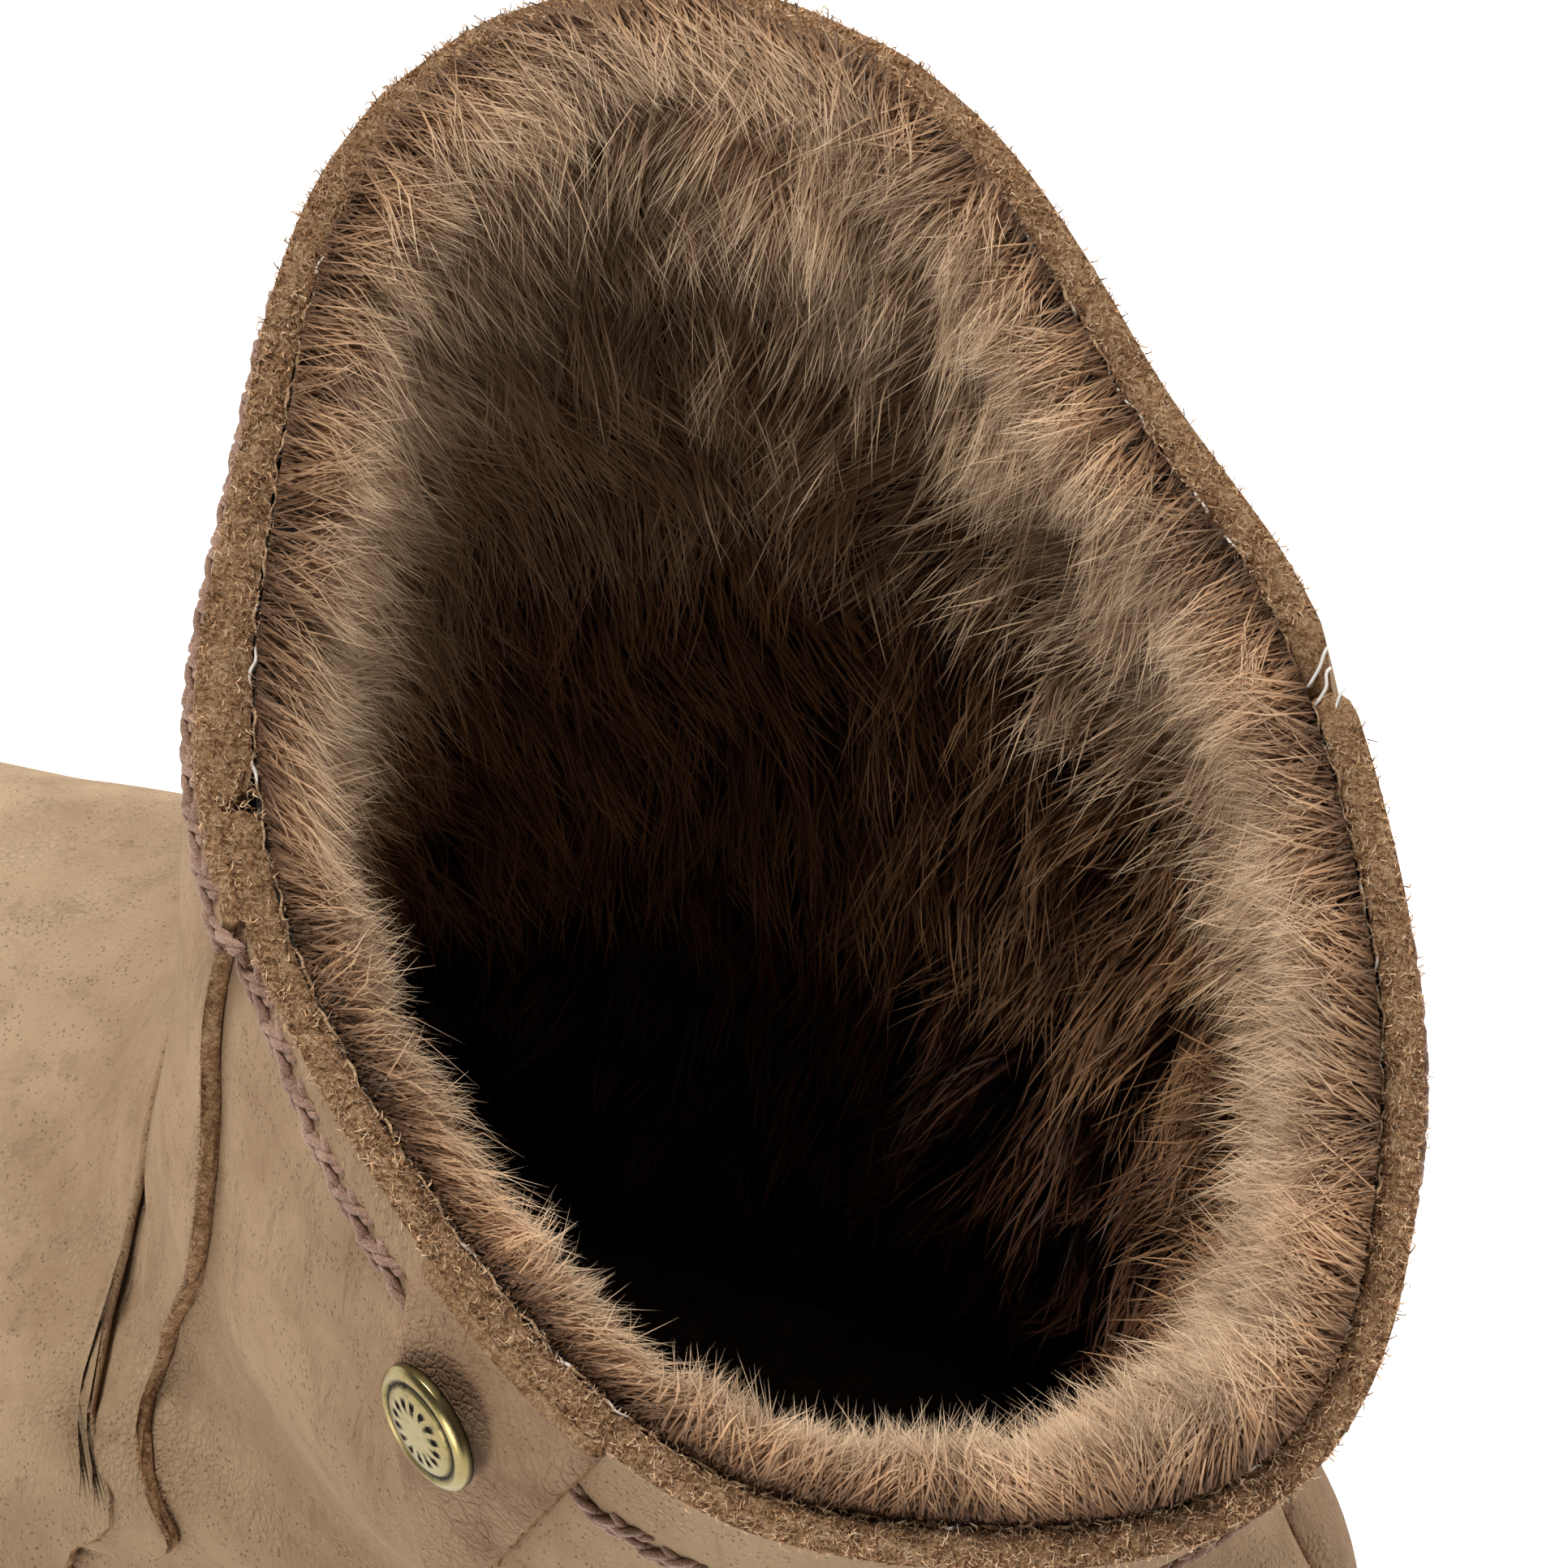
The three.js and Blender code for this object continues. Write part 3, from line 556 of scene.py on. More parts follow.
def mesh_piece(name, points, faces, finishes, attributes=None, which=None):
    """A new mesh of points in metres and of faces with equal numbers of corners, or a list of such."""
    groups = [np.asarray(f, np.int32) for f in (faces if isinstance(faces, list) else [faces])]
    mesh = bpy.data.meshes.new(name)
    mesh.vertices.add(len(points))
    mesh.vertices.foreach_set("co", np.asarray(points, np.float32).ravel())
    mesh.loops.add(sum(g.size for g in groups))
    mesh.loops.foreach_set("vertex_index", np.concatenate([g.ravel() for g in groups]))
    sizes = np.concatenate([np.full(len(g), g.shape[1], np.int32) for g in groups])
    mesh.polygons.add(len(sizes))
    mesh.polygons.foreach_set("loop_start", np.concatenate([[0], np.cumsum(sizes)[:-1]]).astype(np.int32))
    if which is not None:
        mesh.polygons.foreach_set("material_index", np.asarray(which, np.int32))
    mesh.polygons.foreach_set("use_smooth", np.ones(len(sizes), bool))
    for key, values in (attributes or {}).items():
        layer = mesh.attributes.new(key, "FLOAT", "POINT")
        layer.data.foreach_set("value", np.asarray(values, np.float32).ravel())
    mesh.update(calc_edges=True)
    made = bpy.data.objects.new(name, mesh)
    bpy.context.scene.collection.objects.link(made)
    for material in finishes:
        mesh.materials.append(material)
    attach(made, "root")
    return made


def grid_faces(rows, columns, closed=False, start=0, flip=False):
    """Faces of a grid of points, rows by columns, joined round when closed."""
    across = columns if closed else columns - 1
    j, i = np.meshgrid(np.arange(rows - 1), np.arange(across), indexing="ij")
    k = (i + 1) % columns
    quads = np.stack([j * columns + i, j * columns + k, (j + 1) * columns + k, (j + 1) * columns + i], -1)
    quads = quads.reshape(-1, 4) + start
    return quads[:, ::-1] if flip else quads


def shut_loose():
    """Nothing stays selected before an operator makes or changes a mesh."""
    bpy.ops.object.select_all(action="DESELECT")


def lap_relief(v, off):
    """The overlap of the inner panel at the front seam, in millimetres on the inner side alone."""
    taken = np.clip(section(np.asarray(v, float))["lap"], 0, 1)
    return LAP * taken * (1 - smooth(-off, 0.1, 0.7))


def back_dip(angle, depth):
    return -depth * np.maximum(1 - np.abs(wrap(angle - math.pi)) / 0.05, 0)


def top_of(angle):
    """The highest section of the cut edge, with the split at the back seam and a hand-cut waver."""
    split = 0.1 * np.exp(-((wrap(angle - math.pi) / 0.022) ** 2))
    waver = 0.008 * np.sin(angle * 9 + 1.3) + 0.006 * np.sin(angle * 23)
    return TOP - split - np.abs(waver)


def leather_sheet(name, v, angle, outer, inner, finishes, seed, rough_edge=0.16):
    """A sheet of leather with its cut edges, from grids of places and of the heights of both its sides."""
    rows, columns = v.shape
    slack = noise_field(skin(v, angle), 26, 3) * 0.3 * smooth(TOP - v, 0, 1)
    top = surface(v, angle, outer + slack)
    under = surface(v, angle, inner + slack)
    index = np.arange(rows * columns).reshape(rows, columns)
    rim = np.concatenate([index[0, :-1], index[:-1, -1], index[-1, :0:-1], index[:0:-1, 0]])
    a, b = top.reshape(-1, 3)[rim], under.reshape(-1, 3)[rim]
    middle = top.mean((0, 1))
    along = unit(np.roll(a, -1, 0) - np.roll(a, 1, 0))
    away = unit(np.cross(along, a - b))
    if ((a - middle) * away).sum() < 0:
        away = -away
    dice = np.random.default_rng(seed)
    bands = []
    for share in (0.12, 0.35, 0.65, 0.88):
        bulge = 0.28 * math.sin(share * math.pi) + dice.normal(0, rough_edge, len(rim))[:, None]
        bands.append(mix(a, b, share) + away * bulge)
    points = np.vstack([top.reshape(-1, 3), under.reshape(-1, 3), *bands])
    flat = grid_faces(rows, columns)
    below = grid_faces(rows, columns, start=rows * columns, flip=True)
    around = len(rim)
    bands_at = [2 * rows * columns + n * around + np.arange(around) for n in range(4)]
    loops = [rim, *bands_at, rim + rows * columns]
    edges = [np.stack([p, q, np.roll(q, -1), np.roll(p, -1)], -1) for p, q in zip(loops, loops[1:])]
    faces = np.vstack([flat, below, *edges])
    raw = (np.linalg.norm(a - b, axis=1) > 1.0).astype(float)
    which = np.concatenate([np.zeros(len(flat)), np.ones(len(below)), np.tile(raw, len(edges))])
    return mesh_piece(name, metres(points), faces, finishes, which=which)


def vamp_edge(z):
    down = (VAMP_TOP_Z - z) / (VAMP_TOP_Z - FORE_THICKNESS)
    return mix(VAMP_TOP_X, VAMP_FOOT_X, np.maximum(down, 0) ** VAMP_CURVE)


def vamp_places(count):
    """Angles across the vamp and the sections where each column enters and leaves it."""
    levels = np.arange(0.1, 10.4, 0.02)

    def spans(angle):
        at = skin(levels[:, None], angle[None])
        inside = (at[..., 0] > vamp_edge(at[..., 2])) & (at[..., 2] < VAMP_TOP_Z)
        low = levels[inside.argmax(0)]
        past = ~inside & (levels[:, None] > low)
        high = np.where(past.any(0), levels[past.argmax(0)], levels[-1])
        return np.where(inside.any(0), low, 1.0), np.where(inside.any(0), high, 0.0)

    tries = np.linspace(-math.pi, math.pi, 721)
    low, high = spans(tries)
    wide = tries[high - low > 0.4]
    angle = np.linspace(wide.min(), wide.max(), count)
    kernel = np.hanning(13) / np.hanning(13).sum()
    low, high = (np.convolve(np.pad(side, 6, mode="edge"), kernel, "valid") for side in spans(angle))
    return angle, low, high


def vamp_under(v, angle):
    """How far the panels under the vamp stand out at the front seam."""
    return lap_relief(v, np.minimum(angle, 0)) * smooth(-angle, -0.26, -0.02)


def vamp_cover(v, angle):
    """How deep the panels are pared where the vamp lies over them."""
    at = skin(v, angle)
    past_edge = smooth(at[..., 0] - vamp_edge(at[..., 2]), 0.4, 2.2)
    return -0.9 * past_edge * smooth(VAMP_TOP_Z - at[..., 2], 0.6, 2.4)


def vamp_height(angle):
    """Height of the vamp's cut edge: whole on the outer side, pared over the front and the inner side."""
    return mix(0.55, LAP, smooth(angle, -0.1, 0.22))


def tab_spot(across, drop):
    across, drop = np.broadcast_arrays(np.asarray(across, float), np.asarray(drop, float))
    hung = skin(TOP, TAB_ANGLE)
    along = skin(TOP, TAB_ANGLE + 0.05) - skin(TOP, TAB_ANGLE - 0.05)
    along = unit(along * (1, 1, 0))
    v = TOP - drop / np.linalg.norm(hung - skin(TOP - 1, TAB_ANGLE))
    angle = np.full(v.shape, TAB_ANGLE)
    for _ in range(4):
        miss = across - (skin(v, angle) - hung) @ along
        angle = angle + miss / ((SHAFT_WIDTH + COLLAR_RADII[0]) / 3)
    return v, angle


def tube_points(centres, normals, radius, sides, twist=0.0):
    """Rings of points round lines of centres; arrays of lines by points by three."""
    along = unit(np.gradient(centres, axis=-2))
    side = unit(np.cross(along, normals))
    up = np.cross(side, along)
    turn = np.linspace(0, 2 * math.pi, sides, endpoint=False) + twist
    ring = np.cos(turn)[:, None] * side[..., None, :] + np.sin(turn)[:, None] * up[..., None, :]
    radius = np.broadcast_to(np.asarray(radius, float), centres.shape[:-1])
    return centres[..., None, :] + ring * radius[..., None, None]


def tube_faces(lines, steps, sides):
    one = grid_faces(steps, sides, closed=True, flip=True)
    ends = np.array([[0, i, i + 1] for i in range(1, sides - 1)])
    far = ends[:, ::-1] + (steps - 1) * sides
    shift = (np.arange(lines) * steps * sides)[:, None, None]
    return [(one[None] + shift).reshape(-1, 4), (np.vstack([ends, far])[None] + shift).reshape(-1, 3)]


def stitch_row(places, lift, length, ply_radius, dip=0.75, steps=11, sides=6):
    """Two-ply stitches: places give v, angle and direction of each, as functions of a step in millimetres."""
    t = np.linspace(-0.5, 0.5, steps)
    v, angle = places(t * length)
    rise = lift + (np.cos(t * math.pi) ** 0.6 - 1) * dip
    centres = surface(v, angle, 0) + outward(v, angle) * rise[..., None]
    normals = outward(v, angle)
    along = unit(np.gradient(centres, axis=-2))
    side = unit(np.cross(along, normals))
    up = np.cross(side, along)
    plies = []
    for half in (0, math.pi):
        turn = t * 2 * math.pi * 1.5 + half
        shift = np.cos(turn)[:, None] * side + np.sin(turn)[:, None] * up
        plies.append(tube_points(centres + shift * ply_radius * 0.75, normals, ply_radius, sides))
    points = np.stack(plies, 1).reshape(-1, steps * sides, 3)
    return points.reshape(-1, 3), len(points)


def collar_line(extra):
    """Angles, sections and lengths along the stitches' line round the shaft."""
    off = np.linspace(-math.pi + 0.03, math.pi - 0.03, 2400)
    drop = np.interp(np.degrees(off), *np.array(STITCH_LINE).T) + extra
    drop = np.convolve(np.pad(drop, 30, mode="edge"), np.hanning(61) / np.hanning(61).sum(), "valid")
    v = top_of(off) - drop / np.linalg.norm(skin(TOP, off) - skin(TOP - 1, off), axis=-1)
    step = np.linalg.norm(np.diff(skin(v, off), axis=0), axis=-1)
    return off, v, np.concatenate([[0], np.cumsum(step)])


def strand_piece(name, line, facing, width, tone, s, finish):
    """Flat tapered strands along lines, which are an array of strands by points by three."""
    count, stops = len(line), line.shape[1] - 1
    along = unit(np.gradient(line, axis=1))
    across = unit(np.cross(along, facing[:, None]))
    half = width[:, None] * (1 - 0.42 * s[:stops] ** 2) / 2
    left = line[:, :stops] - across[:, :stops] * half[..., None]
    right = line[:, :stops] + across[:, :stops] * half[..., None]
    points = np.concatenate([left, right, line[:, stops:]], axis=1).reshape(-1, 3)
    each = 2 * stops + 1
    base = (np.arange(count) * each)[:, None, None]
    quad = [[n, stops + n, stops + n + 1, n + 1] for n in range(stops - 1)]
    quads = (np.array(quad)[None] + base).reshape(-1, 4)
    tips = (np.array([[stops - 1, 2 * stops - 1, 2 * stops]])[None] + base).reshape(-1, 3)
    level = np.tile(np.concatenate([s[:stops], s[:stops], [1.0]]), count)
    attributes = {"along": level, "tone": np.repeat(tone, each)}
    return mesh_piece(name, metres(points), [quads, tips], [finish], attributes)


def curly_nap(name, base, lean, length, width, finish, seed):
    """Short curled fibres that stand on places of a cut edge."""
    dice = np.random.default_rng(seed)
    count = len(base)
    size = length * dice.uniform(0.5, 1.3, count)[:, None]
    first = unit(lean + dice.normal(0, 0.85, (count, 3)))
    bend = unit(np.cross(first, dice.normal(size=(count, 3))))
    middle = base + first * size * 0.55
    tip = middle + unit(bend * 1.1 + first * dice.uniform(-0.5, 0.7, (count, 1))) * size * 0.6
    facing = unit(np.cross(first, bend) + lean * 0.8)
    tone = dice.uniform(0.0, 1.0, count)
    line = np.stack([base, middle, tip], 1)
    s = np.array([0.0, 0.5, 1.0])
    return strand_piece(name, line, facing, width * dice.uniform(0.7, 1.3, count), tone, s, finish)


def fur_strands(name, look, finish, v, angle, clump, length, rise, droop, width, seed, curl, depth, stops):
    """A coat of tapered strands in clumps, each at a given place and of as many strands as clump says."""
    dice = np.random.default_rng(seed)
    clumps = len(v)
    tangent = unit(skin(v, angle + 0.02) - skin(v, angle - 0.02))
    inward = -outward(v, angle)
    up = np.cross(inward, tangent)
    up = up * np.sign(up[:, 2:3] + 1e-9)
    root = surface(v, angle, -HIDE - depth)
    swirl = noise_field(root, 34, seed + 1)[:, None] * 0.55 + dice.normal(0, 0.22, (clumps, 1))
    lead = inward * dice.uniform(0.75, 1.15, (clumps, 1))
    lead = unit(lead + up * (rise + dice.normal(0, 0.16, (clumps, 1))) + tangent * swirl)
    fall = unit(inward * 0.5 - up * droop * dice.uniform(0.7, 1.3, (clumps, 1)) + tangent * swirl * 1.5)
    reach = length * dice.uniform(0.72, 1.18, clumps)
    light = np.clip(dice.normal(0.5, 0.2, clumps) + noise_field(root, 16, seed + 2) * 0.24, 0, 1)

    pick = np.repeat(np.arange(clumps), clump)
    count = len(pick)
    spread = dice.normal(0, 1, (count, 2)) * look.clump_spread
    start = root[pick] + tangent[pick] * spread[:, :1] + up[pick] * spread[:, 1:]
    own = unit(lead[pick] + dice.normal(0, 0.1, (count, 3)))
    end = unit(fall[pick] + dice.normal(0, 0.13, (count, 3)))
    size = reach[pick] * dice.uniform(0.62, 1.1, count)
    gather = dice.uniform(0.45, 1.0, count)[:, None]
    s = np.linspace(0, 1, stops + 1) ** 0.92
    phase = dice.uniform(0, 2 * math.pi, count)
    wave = np.sin(phase[:, None] + s * dice.uniform(2.5, 5.5, count)[:, None]) - np.sin(phase)[:, None]
    side = unit(np.cross(own, dice.normal(size=(count, 3))))
    way = own[:, None] * s[:, None] + (end - own)[:, None] * (s**2)[:, None] * 0.5
    line = start[:, None] + size[:, None, None] * way
    apart = spread[:, :1] * tangent[pick] + spread[:, 1:] * up[pick]
    line = line - apart[:, None] * (gather * s**1.4)[..., None]
    line = line + side[:, None] * (wave * curl * s)[..., None]
    facing = unit(inward[pick] * 0.45 + np.array([0.0, 0.0, 0.85]) + dice.normal(0, 0.55, (count, 3)))
    tone = np.clip(light[pick] + dice.normal(0, 0.1, count), 0, 1)
    return strand_piece(name, line, facing, width * dice.uniform(0.7, 1.25, count), tone, s, finish)


def scatter(count, low, high, seed):
    """Places of clumps, evenly spread over a band of the inside."""
    dice = np.random.default_rng(seed)
    v = low + (high - low) * (np.arange(count) + dice.uniform(0, 1, count)) / count
    angle = (np.arange(count) * 2.399963 + dice.normal(0, 0.03, count)) % (2 * math.pi)
    return v, wrap(angle)


class BootLook(bpy.types.PropertyGroup):
    nubuck_light: FloatVectorProperty(
        name="Nubuck, light", description="Raised nap of the outer leather", subtype="COLOR", size=3,
        default=eye(166, 138, 107)[:3], min=0, max=1)
    nubuck_dark: FloatVectorProperty(
        name="Nubuck, dark", description="Pressed nap of the outer leather", subtype="COLOR", size=3,
        default=eye(140, 111, 83)[:3], min=0, max=1)
    thread_colour: FloatVectorProperty(
        name="Thread", description="Decorative thread round the collar", subtype="COLOR", size=3,
        default=eye(190, 154, 132)[:3], min=0, max=1)
    tab_colour: FloatVectorProperty(
        name="Tab", description="Pebbled leather of the tab", subtype="COLOR", size=3,
        default=eye(158, 127, 96)[:3], min=0, max=1)
    brass_colour: FloatVectorProperty(
        name="Brass", description="Polished parts of the button", subtype="COLOR", size=3,
        default=eye(152, 136, 90)[:3], min=0, max=1)
    sole_colour: FloatVectorProperty(
        name="Sole", description="Light rubber of the sole", subtype="COLOR", size=3,
        default=eye(152, 130, 104)[:3], min=0, max=1)
    fur_length: FloatProperty(
        name="Fur length", description="Mean length of the fur near the collar, in millimetres",
        default=14.5, min=4, max=25)
    strand_width: FloatProperty(
        name="Strand width", description="Width of a strand of fur, in millimetres",
        default=0.2, min=0.05, max=1)
    clump_spread: FloatProperty(
        name="Clump spread", description="How far the roots of a clump lie apart, in millimetres",
        default=1.5, min=0.2, max=5)
    clump_strands: IntProperty(
        name="Strands in a clump", description="How many strands each clump of fur has",
        default=26, min=4, max=60)
    stitch_pitch: FloatProperty(
        name="Stitch pitch", description="From one collar stitch to the next, in millimetres",
        default=4.9, min=2, max=12)
    stitch_gap: FloatProperty(
        name="Row gap", description="Between the two strands of the chain of stitches, in millimetres",
        default=0.5, min=0.2, max=4)
    ply_radius: FloatProperty(
        name="Ply radius", description="Radius of each ply of the thick thread, in millimetres",
        default=0.4, min=0.1, max=1)


class BOOT_OT_camera(bpy.types.Operator):
    """Looks down on the collar from the outer side, as the photograph does"""

    bl_idname = "boot.camera"
    bl_label = "Camera"

    def execute(self, context):
        target = Vector(metres(CAMERA_TARGET))
        flat = math.cos(CAMERA_ELEVATION)
        away = Vector((
            flat * math.cos(CAMERA_AZIMUTH), flat * math.sin(CAMERA_AZIMUTH), math.sin(CAMERA_ELEVATION),
        ))
        data = bpy.data.cameras.new("camera")
        data.sensor_width = SENSOR_WIDTH
        data.lens = SENSOR_WIDTH * FOCAL_PIXELS / IMAGE_WIDTH
        data.clip_start = 0.02
        camera = bpy.data.objects.new("camera", data)
        context.scene.collection.objects.link(camera)
        camera.location = target + away * CAMERA_DISTANCE
        camera.rotation_euler = away.to_track_quat("Z", "Y").to_euler()
        context.scene.camera = camera
        return {"FINISHED"}


class BOOT_OT_upper(bpy.types.Operator):
    """Makes two shaft panels, overlapped at the front and joined at the back, and the vamp over them"""

    bl_idname = "boot.upper"
    bl_label = "Upper"

    def execute(self, context):
        look = context.scene.boot_look
        finishes = [nubuck_finish(look), raw_edge_finish()]
        near_seam = [0, 0.03, 0.06, 0.1, 0.13, 0.15, 0.18]
        fine = np.concatenate([near_seam, np.linspace(0.21, math.pi - 0.08, 100)])
        fine = np.concatenate([fine, math.pi - np.array([0.06, 0.04, 0.02, 0.006])])
        share = np.linspace(0, 1, 96)[:, None]

        off = np.concatenate([[-0.12, -0.06], fine])[None]
        v = share * top_of(off)
        off = np.broadcast_to(off, v.shape)
        outer = back_dip(off, 1.2) * smooth(v, 0, 3) + vamp_cover(v, off)
        inner = np.full(v.shape, -HIDE)
        panel = leather_sheet("outer_panel", v, off, outer, inner, finishes, 3)

        off = -fine[::-1][None]
        v = share * top_of(off)
        off = np.broadcast_to(off, v.shape)
        outer = lap_relief(v, off) + back_dip(off, 1.2) * smooth(v, 0, 3) + vamp_cover(v, off)
        inner = mix(0.05, -HIDE, smooth(-off, 0.125, 0.16))
        far = leather_sheet("inner_panel", v, off, outer, inner, finishes, 5)

        angle, low, high = vamp_places(116)
        share = np.linspace(0, 1, 80)[:, None]
        v = mix(low[None], high[None], share)
        angle = np.broadcast_to(angle[None], v.shape)
        under = vamp_under(v, angle)
        rim = np.maximum(smooth(share, 0.7, 0.98), smooth(1 - share, 0.7, 0.98) * smooth(low, 0.12, 0.5))
        rim = np.maximum(rim, smooth(angle[:1, :1] + 0.2 - angle, 0, 0.2))
        height = mix(LAP, vamp_height(angle), rim)
        vamp = leather_sheet("vamp", v, angle, under + height, under - 0.4, finishes, 7, 0.1)
        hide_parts("upper")
        for piece in (panel, far, vamp):
            shut_loose()
            context.view_layer.objects.active = piece
            piece.select_set(True)
            bpy.ops.object.shade_smooth_by_angle(angle=math.radians(50))
        return {"FINISHED"}


class BOOT_OT_edge_nap(bpy.types.Operator):
    """Covers the cut edges of the collar and of the front seam with short curled fibres"""

    bl_idname = "boot.edge_nap"
    bl_label = "Nap of the cut edge"

    def execute(self, context):
        dice = np.random.default_rng(21)
        finish = fur_finish("suede_fibres", eye(140, 98, 66), eye(232, 190, 144), eye(255, 240, 214))
        angle = dice.uniform(0.07 - math.pi, math.pi - 0.07, 16000)
        share = dice.uniform(-0.02, 1.05, len(angle))
        lap = lap_relief(TOP, angle) * (angle < 0)
        base = surface(top_of(angle), angle, -HIDE * share + lap * (1 - share))
        lean = outward(TOP, angle) * dice.normal(0.0, 0.3, len(angle))[:, None] + (0, 0, 1)
        curly_nap("edge_nap", base, lean, 1.2, 0.14, finish, 22)

        v = dice.uniform(7.8, TOP - 0.1, 6000)
        base = surface(v, np.zeros(len(v)), 0.05 + (LAP + 0.05) * dice.uniform(0, 1, len(v)))
        lean = unit(skin(v, 0.05) - skin(v, -0.05))
        seam_fibres = fur_finish("seam_fibres", eye(96, 70, 48), eye(144, 112, 80), eye(208, 176, 140))
        curly_nap("seam_nap", base, lean, 0.3, 0.07, seam_fibres, 23)
        return {"FINISHED"}


class BOOT_OT_stitching(bpy.types.Operator):
    """Sews the twisted stitches round the shaft, the thin thread inside the edge and the back seam"""

    bl_idname = "boot.stitching"
    bl_label = "Stitching"

    def execute(self, context):
        look = context.scene.boot_look
        rows = []
        total = 0
        for number in range(2):
            angle, v, length = collar_line((number - 0.5) * look.stitch_gap)
            centres = np.arange(3.0 + number * look.stitch_pitch / 2, length[-1] - 3, look.stitch_pitch)
            tab_at = np.interp(TAB_ANGLE, angle, length)
            centres = centres[np.abs(centres - tab_at) > TAB_WIDTH / 2 + 1]
            slant = (0.5 - number) * 0.62

            def places(steps, at=centres, angle=angle, v=v, length=length, slant=slant):
                s = at[:, None] + steps[None]
                return np.interp(s, length, v) + steps[None] * slant / 14, np.interp(s, length, angle)

            v_mid, angle_mid = places(np.zeros(1))
            lift = 0.3 + lap_relief(v_mid, np.minimum(angle_mid, 0)) * smooth(-angle_mid, -0.04, 0.02)
            points, made = stitch_row(places, lift, look.stitch_pitch * 1.25, look.ply_radius)
            rows.append(points)
            total += made
        faces = tube_faces(total, 11, 6)
        mesh_piece("collar_stitches", metres(np.vstack(rows)), faces, [thread_finish(look)])

        angle = np.linspace(-math.pi, math.pi, 1500, endpoint=False)
        wobble = 0.2 * np.sin(angle * 61) + 0.12 * np.sin(angle * 167 + 1)
        centre = surface(top_of(angle) - 0.006, angle, -HIDE - 0.2 + wobble) + (0, 0, 0.25)
        centre[:, 2] += 0.3 * np.sin(angle * 83 + 2)
        ring = tube_points(centre[None], outward(TOP, angle)[None], 0.15 + 0.04 * np.sin(angle * 97)[None], 5)
        turns = math.pi + np.array([-0.05, -0.025, 0.005, 0.03])[:, None]
        depth = np.linspace(0.35, -HIDE, 9)[None]
        bow = (0, 0, 1) * (0.3 - 0.6 * smooth(depth, -0.3, 0.35))[..., None]
        sunk = back_dip(wrap(turns), 1.2) * smooth(depth, -2, 0)
        crossing = surface(TOP - 0.02, turns + 0.012 * depth, depth + sunk) + bow
        threads = tube_points(crossing, np.broadcast_to((0.0, 0.0, 1.0), crossing.shape), 0.14, 6)
        white = Finish("white_thread", Base_Color=eye(228, 222, 212), Roughness=0.6).material
        mesh_piece("back_seam_thread", metres(threads.reshape(-1, 3)), tube_faces(4, 9, 6), [white])

        faces = grid_faces(1500, 5, closed=True, flip=True)
        last = np.array([[1499 * 5 + i, 1499 * 5 + (i + 1) % 5, (i + 1) % 5, i] for i in range(5)])[:, ::-1]
        faces = np.vstack([faces, last])
        mesh_piece("edge_thread", metres(ring.reshape(-1, 3)), faces, [edge_thread_finish()])
        return {"FINISHED"}


class BOOT_OT_fleece(bpy.types.Operator):
    """Lines the boot with the woolly ground that the fur grows from, coloured dark as painted shade under the
    fur, and finishes the insole
    """

    bl_idname = "boot.fleece"
    bl_label = "Fleece ground"

    def execute(self, context):
        look = context.scene.boot_look
        angle = np.linspace(-math.pi, math.pi, 110, endpoint=False)[None]
        v = np.linspace(0.5, TOP - 0.02, 56)[:, None]
        v, angle = np.broadcast_arrays(v, angle)
        place = skin(v, angle)
        depth = 2.6 + noise_field(place, 9, 31) * 0.7 + noise_field(place, 4, 33) * 0.4
        near = surface(v, angle, -HIDE - depth)
        back = surface(v, angle, -HIDE - 0.15)
        near[..., 2] = np.maximum(near[..., 2], sole_top(near[..., 0]) + INSOLE_THICKNESS + 2 * CLEAR)
        back[..., 2] = np.maximum(back[..., 2], sole_top(back[..., 0]) + INSOLE_THICKNESS + CLEAR)
        rows, columns = v.shape
        points = np.vstack([near.reshape(-1, 3), back.reshape(-1, 3)])
        size = rows * columns
        inside = grid_faces(rows, columns, closed=True, flip=True)
        outside = grid_faces(rows, columns, closed=True, start=size)
        i = np.arange(columns)
        k = (i + 1) % columns
        top = (rows - 1) * columns
        lid = np.stack([top + i, top + k, size + top + k, size + top + i], -1)[:, ::-1]
        hem = np.stack([i, k, size + k, size + i], -1)
        faces = np.vstack([inside, outside, lid, hem])
        made = mesh_piece("fleece_ground_painted_shade", metres(points), faces, [painted_shade_fleece_finish()])
        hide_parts("fleece_lining")
        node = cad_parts["insole"]
        node.data.materials.clear()
        node.data.materials.append(insole_finish())
        return {"FINISHED"}


